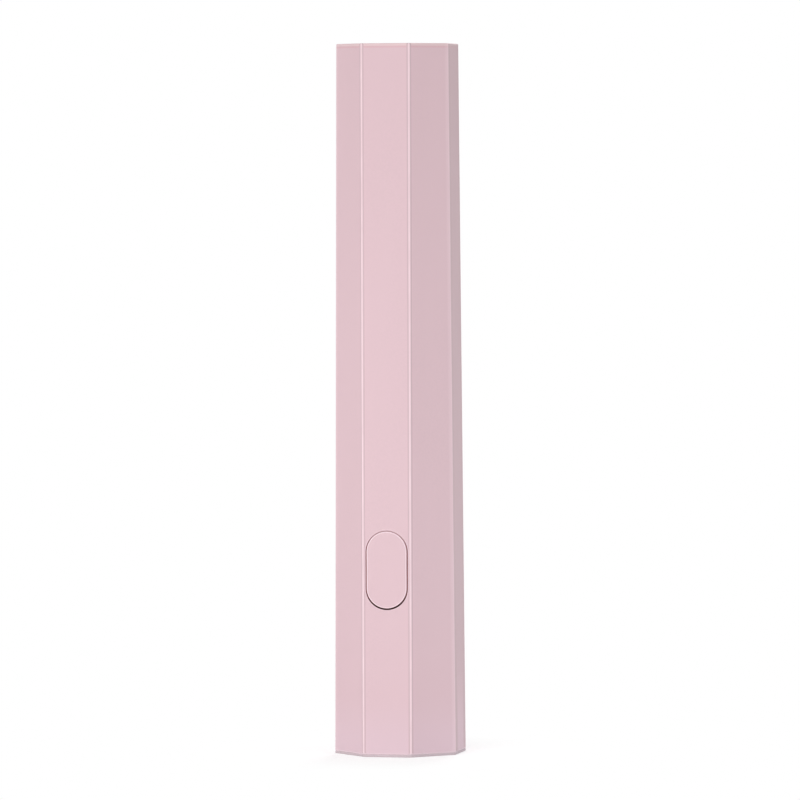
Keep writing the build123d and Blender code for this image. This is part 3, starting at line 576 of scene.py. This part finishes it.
def silicone(name):
    """Milky soft ring with a dusty surface."""
    look = Look(name)
    dust = look.noise(0.3 * MM, detail=3.0, roughness=0.6)
    look.set(
        Base_Color=look.mix(dust, (0.66, 0.66, 0.65), (0.76, 0.76, 0.75)),
        Roughness=look.vary(dust, 0.5, 0.65),
        Subsurface_Weight=0.2,
        Subsurface_Scale=1.0 * MM,
    )
    look.bump((dust, 0.01 * MM))
    return look.material


def open_foam(name):
    """Black foam with open pores."""
    look = Look(name)
    pores = look.cells(0.5 * MM)
    small = look.cells(0.2 * MM)
    open_share = look.spread(pores, 0.1, 0.45)
    look.set(
        Base_Color=look.mix(open_share, (0.004, 0.004, 0.005), (0.03, 0.03, 0.034)),
        Roughness=look.spread(small, 0.0, 0.6, 0.85, 1.0),
    )
    look.bump((pores, 0.25 * MM), (small, 0.08 * MM))
    return look.material


def mirror_cup(name):
    """Vacuum-metallised cup with a light orange peel."""
    look = Look(name)
    peel = look.noise(0.7 * MM)
    haze = look.noise(3.5 * MM, detail=3.0, roughness=0.6)
    look.set(
        Base_Color=look.mix(haze, (0.80, 0.80, 0.83), (0.90, 0.90, 0.92)),
        Metallic=1.0,
        Roughness=look.vary(haze, 0.06, 0.16),
    )
    look.bump((peel, 0.003 * MM))
    return look.material


def masked_board(name, across, mask, copper, core):
    """Printed board: solder mask over tracks on the faces across one axis, bare core round its edge."""
    look = Look(name)
    weave = look.noise(0.35 * MM, detail=1.0)
    routes = look.cells(2.4 * MM, "DISTANCE_TO_EDGE")
    track = look.fall(routes, 0.05, 0.09)
    dots = look.fall(look.cells(1.9 * MM), 0.1, 0.14)
    printed = look.mix(look.math("MAXIMUM", track, dots), mask, copper)
    side = look.fall(look.facing(across), 0.6, 0.8)
    look.set(
        Base_Color=look.mix(side, look.mix(weave, printed, scaled(mask, 0.9)), core),
        Roughness=look.vary(weave, 0.28, 0.4),
    )
    look.bump((track, 0.03 * MM), (weave, 0.008 * MM))
    return look.material


def emitter_package(name):
    """Pale ceramic base with a silvered field under the dome and fine sinter grain."""
    look = Look(name)
    grain = look.noise(0.12 * MM, detail=3.0, roughness=0.6)
    field = look.fall(look.radius(), *FIELD_EDGE)
    ceramic = look.mix(grain, (0.72, 0.70, 0.64), (0.82, 0.80, 0.74))
    look.set(
        Base_Color=look.mix(field, ceramic, (0.60, 0.60, 0.58)),
        Roughness=look.vary(grain, 0.4, 0.6),
    )
    look.bump((grain, 0.01 * MM))
    return look.material


def die_crystal(name):
    """Slate-blue crystal with a fine current-spreading grid and a slight sparkle."""
    look = Look(name)
    grid = look.fall(look.cells(0.16 * MM, "DISTANCE_TO_EDGE"), 0.0, 0.06)
    grain = look.noise(0.05 * MM)
    look.set(
        Base_Color=look.mix(grid, (0.10, 0.12, 0.20), (0.55, 0.48, 0.30)),
        Roughness=look.vary(grain, 0.15, 0.3),
    )
    look.bump((grid, 0.004 * MM))
    return look.material


def thermal_sheet(name):
    """Grey-blue filled pad with a woven carrier and crumbs of filler."""
    look = Look(name)
    weave = look.cells(0.45 * MM)
    crumbs = look.noise(0.2 * MM, detail=4.0, roughness=0.7)
    look.set(
        Base_Color=look.mix(crumbs, (0.20, 0.25, 0.33), (0.34, 0.40, 0.50)),
        Roughness=look.vary(crumbs, 0.6, 0.8),
    )
    look.bump((weave, 0.03 * MM), (crumbs, 0.01 * MM))
    return look.material


def turned_aluminium(name):
    """Machined aluminium: tool rings on the faces, bands round the side."""
    look = Look(name)
    rings = look.rings(look.radius(), 0.12 * MM)
    bands = look.rings(look.height(), 0.10 * MM)
    haze = look.noise(2.5 * MM, detail=3.0, roughness=0.6)
    look.set(
        Base_Color=look.mix(haze, (0.56, 0.57, 0.59), (0.66, 0.67, 0.68)),
        Metallic=1.0,
        Roughness=look.vary(look.mix(look.facing("Z"), bands, rings), 0.22, 0.38),
    )
    look.bump((rings, 0.004 * MM), (bands, 0.004 * MM))
    return look.material


def moulded_carrier(name):
    """Off-white moulding with eroded grain, flow clouds and thin knit lines."""
    look = Look(name)
    grain = look.noise(0.22 * MM)
    flow = look.noise(9 * MM, detail=3.0, roughness=0.6, stretch=(1.0, 1.0, 0.4))
    knit = look.fall(look.cells(17 * MM, "DISTANCE_TO_EDGE"), 0.0, 0.012)
    pale = look.mix(flow, (0.66, 0.66, 0.63), (0.74, 0.74, 0.71))
    look.set(
        Base_Color=look.mix(knit, pale, (0.58, 0.58, 0.55)),
        Roughness=look.vary(grain, 0.46, 0.6),
    )
    look.bump((flow, 0.03 * MM), (grain, 0.008 * MM))
    return look.material


def sheet_metal(name, pale, deep, drawn=(1.0, 1.0, 0.06)):
    """Rolled sheet metal with lines along its grain and a few handling stains."""
    look = Look(name)
    lines = look.noise(0.08 * MM, roughness=0.6, stretch=drawn)
    stains = look.noise(2.2 * MM, detail=4.0, roughness=0.6)
    look.set(
        Base_Color=look.mix(look.spread(stains, 0.35, 0.7), pale, deep),
        Metallic=1.0,
        Roughness=look.vary(lines, 0.2, 0.36),
    )
    look.bump((lines, 0.004 * MM))
    return look.material


def wound_core(name):
    """Rolled electrode layers that show as a spiral on the ends."""
    look = Look(name)
    x, y, _ = look.axes()
    turn = look.product(look.math("ARCTAN2", y, x), LAYER_PITCH / math.tau)
    layers = look.rings(look.math("ADD", look.radius(), turn), LAYER_PITCH)
    band = look.spread(layers, 0.42, 0.58)
    look.set(
        Base_Color=look.mix(band, (0.02, 0.02, 0.022), (0.30, 0.17, 0.09)),
        Roughness=look.vary(layers, 0.45, 0.7),
    )
    look.bump((layers, 0.05 * MM))
    return look.material


def shrink_sleeve(name):
    """Glossy blue film with shrink wrinkles round the ends."""
    look = Look(name)
    wrinkles = look.noise(1.2 * MM, detail=3.0, roughness=0.55, stretch=(1.0, 1.0, 0.25))
    tint = look.noise(7 * MM)
    look.set(
        Base_Color=look.mix(tint, (0.018, 0.085, 0.30), (0.028, 0.12, 0.38)),
        Roughness=look.vary(wrinkles, 0.14, 0.24),
        Coat_Weight=0.3,
        Coat_Roughness=0.08,
    )
    look.bump((wrinkles, 0.03 * MM))
    return look.material


def fibre_card(name):
    """Pressed insulating card with short fibres."""
    look = Look(name)
    fibres = look.noise(0.15 * MM, detail=4.0, roughness=0.65, stretch=(0.25, 1.0, 1.0))
    look.set(
        Base_Color=look.mix(fibres, (0.60, 0.56, 0.42), (0.76, 0.73, 0.60)),
        Roughness=look.vary(fibres, 0.75, 0.9),
    )
    look.bump((fibres, 0.02 * MM))
    return look.material


def wire_jacket(name, pale, deep):
    """Soft wire insulation with faint extrusion lines and rub marks."""
    look = Look(name)
    lines = look.noise(0.12 * MM, detail=1.0, stretch=(1.0, 1.0, 0.05))
    rubs = look.noise(1.5 * MM, detail=3.0, roughness=0.6)
    look.set(
        Base_Color=look.mix(look.spread(rubs, 0.4, 0.7), deep, pale),
        Roughness=look.vary(rubs, 0.3, 0.42),
    )
    look.bump((lines, 0.006 * MM))
    return look.material


def nylon(name):
    """Slightly clouded nylon of the small connectors."""
    look = Look(name)
    cloud = look.noise(1.6 * MM, detail=3.0, roughness=0.6)
    grain = look.noise(0.12 * MM, detail=1.0)
    look.set(
        Base_Color=look.mix(cloud, (0.70, 0.67, 0.56), (0.80, 0.77, 0.68)),
        Roughness=look.vary(cloud, 0.36, 0.48),
        Subsurface_Weight=0.15,
        Subsurface_Scale=0.6 * MM,
    )
    look.bump((grain, 0.005 * MM))
    return look.material


def black_moulding(name, base):
    """Filled black epoxy or nylon with glassy specks."""
    look = Look(name)
    specks = look.fall(look.cells(0.14 * MM), 0.0, 0.25)
    grain = look.noise(0.1 * MM)
    look.set(
        Base_Color=look.mix(specks, base, scaled(base, 2.2)),
        Roughness=look.vary(grain, 0.42, 0.6),
    )
    look.bump((grain, 0.006 * MM))
    return look.material


def layered_ceramic(name):
    """Fired ceramic of the small board parts."""
    look = Look(name)
    fired = look.noise(0.3 * MM, detail=4.0, roughness=0.6)
    look.set(
        Base_Color=look.mix(fired, (0.30, 0.18, 0.09), (0.42, 0.28, 0.16)),
        Roughness=look.vary(fired, 0.34, 0.5),
    )
    look.bump((fired, 0.01 * MM))
    return look.material


def plated_screw(name):
    """Nickel-plated steel with plating haze and fine rub marks."""
    look = Look(name)
    haze = look.noise(0.5 * MM, detail=4.0, roughness=0.6)
    rub = look.noise(0.12 * MM, roughness=0.6, stretch=(1.0, 0.2, 1.0))
    look.set(
        Base_Color=look.mix(haze, (0.42, 0.42, 0.43), (0.58, 0.58, 0.58)),
        Metallic=1.0,
        Roughness=look.vary(rub, 0.24, 0.42),
    )
    look.bump((haze, 0.006 * MM))
    return look.material


def gold_plate(name):
    """Hard gold of the port's contacts, wiped along their length."""
    look = Look(name)
    wipe = look.noise(0.06 * MM, stretch=(1.0, 1.0, 0.05))
    look.set(
        Base_Color=look.mix(wipe, (0.72, 0.48, 0.16), (0.86, 0.62, 0.26)),
        Metallic=1.0,
        Roughness=look.vary(wipe, 0.2, 0.34),
    )
    look.bump((wipe, 0.003 * MM))
    return look.material


# Each finish has its name, the function that makes it, and the colours or numbers for that
finish_rows = (
    ("pink_shell", shell_pink),
    ("pink_cap", cap_pink),
    ("pink_button", button_pink),
    ("clear_lens", clear_plastic, 0.02, (0.97, 0.98, 0.99)),
    ("light_guide", milky_plastic),
    ("emitter_dome", cast_dome),
    ("soft_seal", silicone),
    ("foam", open_foam),
    ("bright_cup", mirror_cup),
    ("white_board", masked_board, "Z", (0.80, 0.80, 0.78), (0.70, 0.70, 0.68), (0.55, 0.56, 0.57)),
    ("green_board", masked_board, "Y", (0.010, 0.12, 0.05), (0.03, 0.20, 0.08), (0.42, 0.36, 0.18)),
    ("emitter", emitter_package),
    ("pad", thermal_sheet),
    ("sink", turned_aluminium),
    ("carrier", moulded_carrier),
    ("steel", sheet_metal, (0.56, 0.56, 0.57), (0.46, 0.46, 0.47)),
    ("nickel", sheet_metal, (0.60, 0.58, 0.53), (0.48, 0.46, 0.42), (0.06, 1.0, 1.0)),
    ("core", wound_core),
    ("sleeve", shrink_sleeve),
    ("card", fibre_card),
    ("red_wire", wire_jacket, (0.50, 0.02, 0.02), (0.38, 0.010, 0.012)),
    ("black_wire", wire_jacket, (0.03, 0.03, 0.032), (0.015, 0.015, 0.016)),
    ("connector", nylon),
    ("black_plastic", black_moulding, (0.016, 0.016, 0.018)),
    ("capacitor", layered_ceramic),
    ("screw_steel", plated_screw),
)
finishes = {name: make(name, *values) for name, make, *values in finish_rows}


def dress_nodes():
    """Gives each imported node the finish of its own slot."""
    for node in nodes.values():
        slot = node.data.materials[0].name.split(".")[0]
        node.data.materials.clear()
        node.data.materials.append(finishes[slot])


def add_object(name, data):
    """Adds an object to the scene."""
    made = bpy.data.objects.new(name, data)
    bpy.context.scene.collection.objects.link(made)
    return made


def new_piece(mesh, material, body):
    """Adds a piece named after its mesh, with its finish, on the body that carries it."""
    piece = add_object(mesh.name, mesh)
    mesh.materials.append(material)
    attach(piece, body)
    return piece


# Small pieces: screws in the base, contacts in the port, chips under the lens and the switch's dome

def plain_mesh(name, corners, faces):
    """A mesh from its corners, and the faces that join them."""
    mesh = bpy.data.meshes.new(name)
    mesh.from_pydata(corners, [], faces)
    return mesh


def built_mesh(name, build):
    """A mesh from what was built up in a bmesh."""
    mesh = bpy.data.meshes.new(name)
    build.to_mesh(mesh)
    return mesh


def shade_smooth(mesh):
    """Smooth faces, with sharp edges where they turn by more than the sharp angle."""
    mesh.shade_smooth()
    mesh.set_sharp_from_angle(angle=SHARP_ANGLE)


def ring_mesh(name, rings):
    """Closed mesh through rings, each a height and its radii round the axis, with a pole at each end."""
    sides = len(rings[0][1])
    corners = [(0.0, 0.0, rings[0][0])]
    for height, radii in rings:
        for k, radius in enumerate(radii):
            angle = math.tau * k / sides
            corners.append((radius * math.cos(angle), radius * math.sin(angle), height))
    corners.append((0.0, 0.0, rings[-1][0]))
    last = len(corners) - 1
    faces = []
    for k in range(sides):
        after = (k + 1) % sides
        faces.append((0, 1 + after, 1 + k))
        faces.append((last, last - sides + k, last - sides + after))
        for row in range(len(rings) - 1):
            low = 1 + row * sides
            faces.append((low + k, low + after, low + sides + after, low + sides + k))
    return plain_mesh(name, corners, faces)


def add_stack(build, outlines):
    """Adds a closed solid through outlines: a face at each end, and sides between them."""
    rings = [[build.verts.new(corner) for corner in outline] for outline in outlines]
    build.faces.new(rings[0][::-1])
    build.faces.new(rings[-1])
    for under, over in zip(rings, rings[1:]):
        for k in range(len(under)):
            after = (k + 1) % len(under)
            build.faces.new((under[k], under[after], over[after], over[k]))


def wedge_mesh(name):
    """One bar of a cross recess, which narrows towards its bottom."""
    floor_length = RECESS_LENGTH * RECESS_FLOOR[0]
    floor_width = RECESS_WIDTH * RECESS_FLOOR[1]
    outlines = []
    for height, length, width in (
        (-RECESS_ABOVE, RECESS_LENGTH, RECESS_WIDTH),
        (RECESS_DEPTH, floor_length, floor_width),
    ):
        outlines.append([(x * length / 2, y * width / 2, height) for x, y in SQUARE])
    build = bmesh.new()
    add_stack(build, outlines)
    return built_mesh(name, build)


def cut_away(name, mesh, cutter_mesh, turns):
    """The mesh with a cutter taken out of it at each turn about the upright axis."""
    body = add_object(name, mesh)
    helpers = [body]
    for turn in turns:
        cutter = add_object(name + "_cutter", cutter_mesh)
        cutter.rotation_euler.z = turn
        cut = body.modifiers.new("cut", "BOOLEAN")
        cut.object = cutter
        cut.operation = "DIFFERENCE"
        cut.solver = "EXACT"
        helpers.append(cutter)
    depsgraph = bpy.context.evaluated_depsgraph_get()
    result = bpy.data.meshes.new_from_object(body.evaluated_get(depsgraph))
    for helper in helpers:
        bpy.data.objects.remove(helper)
    return result


def head_rings():
    """Pan head, from its low crown round the rim to the seat."""
    crown = HEAD_RADIUS - HEAD_ROUND
    rings = [(CROWN_RISE * share**2, [crown * share] * SCREW_SIDES) for share in CROWN_SHARES]
    for step in range(1, ROUND_STEPS + 1):
        turn = math.pi / 2 * step / ROUND_STEPS
        height = CROWN_RISE + HEAD_ROUND * (1 - math.cos(turn))
        rings.append((height, [crown + HEAD_ROUND * math.sin(turn)] * SCREW_SIDES))
    rings.append((HEAD_HEIGHT, [HEAD_RADIUS] * SCREW_SIDES))
    return rings


def thread_rings(length):
    """Threaded shank, from the seat to its point: one ridge that winds round a thinner core."""
    rings = []
    steps = round((length - HEAD_HEIGHT) / THREAD_STEP)
    for step in range(steps + 1):
        height = HEAD_HEIGHT + step * THREAD_STEP
        left = (steps - step) * THREAD_STEP
        point = min(1.0, POINT_SHARE + (1 - POINT_SHARE) * left / POINT_LENGTH)
        radii = []
        for k in range(SCREW_SIDES):
            phase = (height / THREAD_PITCH - k / SCREW_SIDES) % 1.0
            ridge = max(0.0, 1.0 - THREAD_STEEPNESS * abs(phase - 0.5))
            radii.append((THREAD_CORE + (SHANK_RADIUS - THREAD_CORE) * ridge) * point)
        rings.append((height, radii))
    return rings


def tail_screws():
    """Two self-tapping screws with a cross recess, which stand in for the plain ones."""
    low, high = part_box("cap_screws")
    rings = head_rings() + thread_rings(high[2] - low[2])
    one = cut_away("screw", ring_mesh("screw", rings), wedge_mesh("recess"), (0.0, math.pi / 2))
    pair = bmesh.new()
    for x, turn in zip((low[0] + HEAD_RADIUS, high[0] - HEAD_RADIUS), SCREW_TURNS):
        before = len(pair.verts)
        pair.from_mesh(one)
        pair.verts.ensure_lookup_table()
        place = Matrix.Translation((x, (low[1] + high[1]) / 2, low[2])) @ Matrix.Rotation(turn, 4, "Z")
        bmesh.ops.transform(pair, matrix=place, verts=pair.verts[before:])
    bmesh.ops.remove_doubles(pair, verts=pair.verts[:], dist=MERGE_REACH)
    bmesh.ops.dissolve_degenerate(pair, edges=pair.edges[:], dist=MERGE_REACH)
    mesh = built_mesh("tail_screws", pair)
    shade_smooth(mesh)
    screws = new_piece(mesh, finishes["screw_steel"], "casing")
    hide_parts("cap_screws")


def contact_outline(x, start, end):
    """A contact seen square on, in X and Z, with a rounded front end."""
    half = CONTACT_WIDTH / 2
    outline = []
    for step in range(CONTACT_ROUND_STEPS + 1):
        turn = math.pi * (1 + step / CONTACT_ROUND_STEPS)
        outline.append((x + half * math.cos(turn), start + half + half * math.sin(turn)))
    return outline + [(x + half, end), (x - half, end)]


def port_contacts():
    """Gold contacts on both faces of the port's tongue, with rounded front ends."""
    low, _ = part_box("usb_tongue")
    build = bmesh.new()
    for side in (-1, 1):
        face = side * TONGUE_THICKNESS / 2
        depths = (face - side * CONTACT_SINK, face + side * CONTACT_RISE)
        for number in range(CONTACTS_A_SIDE):
            x = (number - (CONTACTS_A_SIDE - 1) / 2) * CONTACT_PITCH
            outline = contact_outline(x, low[2] + CONTACT_START, low[2] + CONTACT_END)
            add_stack(build, [[(x, depth, z) for x, z in outline] for depth in depths])
    bmesh.ops.recalc_face_normals(build, faces=build.faces[:])
    mesh = built_mesh("port_contacts", build)
    new_piece(mesh, gold_plate("gold_plate"), "casing")


def emitter_dies():
    """Four emitting chips on the package, under the clear dome, each with a stepped top."""
    _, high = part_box("led_package")
    build = bmesh.new()
    apart = DIE_SPACING / 2
    for x, y in ((-apart, -apart), (-apart, apart), (apart, -apart), (apart, apart)):
        outlines = []
        for share, height in DIE_STEPS:
            reach = DIE_SIDE / 2 * share
            outlines.append([(x + a * reach, y + b * reach, high[2] + height) for a, b in SQUARE])
        add_stack(build, outlines)
    mesh = built_mesh("emitter_dies", build)
    new_piece(mesh, die_crystal("die_crystal"), "casing")


def snap_dome():
    """Snap dome under the plunger, cut back between its feet."""
    low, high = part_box("switch_dome")
    reach = (high[0] - low[0]) / 2
    rise = high[1] - low[1]
    under = [((rise - DOME_THICKNESS) * (1 - s**2), (reach - DOME_THICKNESS) * s) for s in DOME_SHARES]
    over = [(rise * (1 - s**2), reach * s) for s in reversed(DOME_SHARES)]
    mesh = ring_mesh("snap_dome", [(height, [radius] * DOME_SIDES) for height, radius in under + over])
    for vertex in mesh.vertices:
        x, y, z = vertex.co
        share = math.hypot(x, y) / reach
        shrink = 1 - DOME_NOTCH * share * math.sin(2 * math.atan2(y, x)) ** 2
        vertex.co = (x * shrink, y * shrink, z + rise * share**2 * (1 - shrink**2))
    mesh.transform(Matrix.Translation((0, high[1], BUTTON_Z)) @ Matrix.Rotation(math.pi / 2, 4, "X"))
    shade_smooth(mesh)
    dome = new_piece(mesh, finishes["steel"], "casing")
    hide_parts("switch_dome")
    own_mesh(dome)


# Camera, light and floor

def photo_camera():
    """Camera at the photograph's viewing angle."""
    data = bpy.data.cameras.new("photo_camera")
    data.sensor_width = SENSOR_WIDTH
    data.lens = FOCAL_PIXELS / FRAME_PIXELS * SENSOR_WIDTH
    data.shift_x = (FRAME_PIXELS / 2 - CENTRE_PIXEL_X) / FRAME_PIXELS
    data.clip_start, data.clip_end = CLIP_RANGE
    camera = add_object("photo_camera", data)
    camera.location = (
        CAMERA_DISTANCE * math.sin(CAMERA_AZIMUTH),
        -CAMERA_DISTANCE * math.cos(CAMERA_AZIMUTH),
        CAMERA_HEIGHT,
    )
    turn = Euler((math.pi / 2 - CAMERA_PITCH, 0.0, CAMERA_AZIMUTH), "XYZ").to_matrix()
    roll = Euler((0.0, 0.0, CAMERA_ROLL), "XYZ").to_matrix()
    camera.rotation_euler = (turn @ roll).to_euler()
    bpy.context.scene.camera = camera


def soft_lamp(
    name, azimuth, elevation, distance, width, height, power, aim_height=TOTAL_HEIGHT / 2, tint=NEUTRAL
):
    """Rectangular lamp aimed at a height on the wand's axis; azimuth 0 is in front, 90 at +X."""
    data = bpy.data.lights.new(name, "AREA")
    data.shape = "RECTANGLE"
    data.size = width
    data.size_y = height
    data.energy = power
    data.color = tint
    lamp = add_object(name, data)
    turn = math.radians(azimuth)
    rise = math.radians(elevation)
    aim = Vector((0, 0, aim_height))
    way = Vector((math.sin(turn) * math.cos(rise), -math.cos(turn) * math.cos(rise), math.sin(rise)))
    lamp.location = aim + way * distance
    lamp.rotation_euler = (-way).to_track_quat("-Z", "Y").to_euler()
    lamp.visible_camera = False


def lamps():
    """A soft lamp high at the front and one at the back, and two low ones for the foot of the wand."""
    soft_lamp("key_lamp", azimuth=0, elevation=35, distance=2.4, width=1.4, height=1.4, power=17.0)
    soft_lamp("back_lamp", azimuth=180, elevation=35, distance=2.4, width=0.7, height=1.4, power=16.0)
    low = {"elevation": 0, "height": 0.05, "aim_height": LOW_LAMP_HEIGHT}
    soft_lamp("low_lamp_left", azimuth=-28, distance=0.25, width=0.25, power=0.14, **low)
    low["tint"] = LOW_LAMP_TINT
    soft_lamp("low_lamp_right", azimuth=100, distance=0.20, width=0.15, power=0.05, **low)


def studio_world():
    """White to the camera, in glass and in gloss; to matt surfaces, brighter overhead than level."""
    world = bpy.data.worlds.new("studio")
    bpy.context.scene.world = world
    world.use_nodes = True
    world.cycles.sampling_method = "NONE"
    sky = Nodes(world.node_tree)
    _, _, way_up = sky.split(sky.node("ShaderNodeTexCoord").outputs["Generated"])
    level = sky.spread(sky.math("ABSOLUTE", way_up), 0.0, SKY_RISE, HORIZON_LIGHT, SKY_LIGHT)
    strength = sky.node("ShaderNodeMix", {"Factor": sky.shows_white(), "A": level, "B": BACKGROUND_WHITE})
    background = world.node_tree.nodes["Background"]
    sky.feed(background.inputs["Color"], NEUTRAL)
    sky.feed(background.inputs["Strength"], strength.outputs["Result"])


def floor_white():
    """Matt white for bounced light, white with the contact shadow where seen, and clear from below."""
    look = Look("floor_white")
    look.material.cycles.emission_sampling = "NONE"
    matt = scaled(NEUTRAL, FLOOR_BOUNCE)
    look.set(Base_Color=matt, Roughness=FLOOR_ROUGHNESS, Specular_IOR_Level=0.0)
    shadowed = look.node("ShaderNodeBsdfDiffuse", {"Color": scaled(NEUTRAL, SHADOW_GREY)})
    glow = look.node("ShaderNodeEmission", {"Strength": SHADOW_GLOW})
    lifted = look.node("ShaderNodeAddShader", {0: shadowed.outputs[0], 1: glow.outputs[0]})
    white = look.node("ShaderNodeEmission", {"Strength": BACKGROUND_WHITE})
    seen = look.blend(look.spread(look.radius(), SHADOW_START, SHADOW_END), lifted, white)
    above = look.blend(look.shows_white(), look.shader, seen)
    backfacing = look.node("ShaderNodeNewGeometry").outputs["Backfacing"]
    whole = look.blend(backfacing, above, look.node("ShaderNodeBsdfTransparent"))
    look.feed(look.output.inputs["Surface"], whole.outputs[0])
    return look.material


def pale_floor():
    """Eight-sided floor round a hole under the base."""
    angles = [math.tau * (k + 0.5) / FLOOR_SIDES for k in range(FLOOR_SIDES)]
    hole = FLOOR_HOLE / math.cos(math.pi / FLOOR_SIDES)
    corners = [(r * math.cos(a), r * math.sin(a), -FLOOR_DROP) for r in (hole, FLOOR_REACH) for a in angles]
    faces = []
    for k in range(FLOOR_SIDES):
        after = (k + 1) % FLOOR_SIDES
        faces.append((k, FLOOR_SIDES + k, FLOOR_SIDES + after, after))
    mesh = plain_mesh("floor", corners, faces)
    mesh.materials.append(floor_white())
    floor = add_object("floor", mesh)


dress_nodes()
tail_screws()
port_contacts()
emitter_dies()
snap_dome()
photo_camera()
studio_world()
pale_floor()
lamps()

bpy.context.scene.view_settings.view_transform = "Standard"
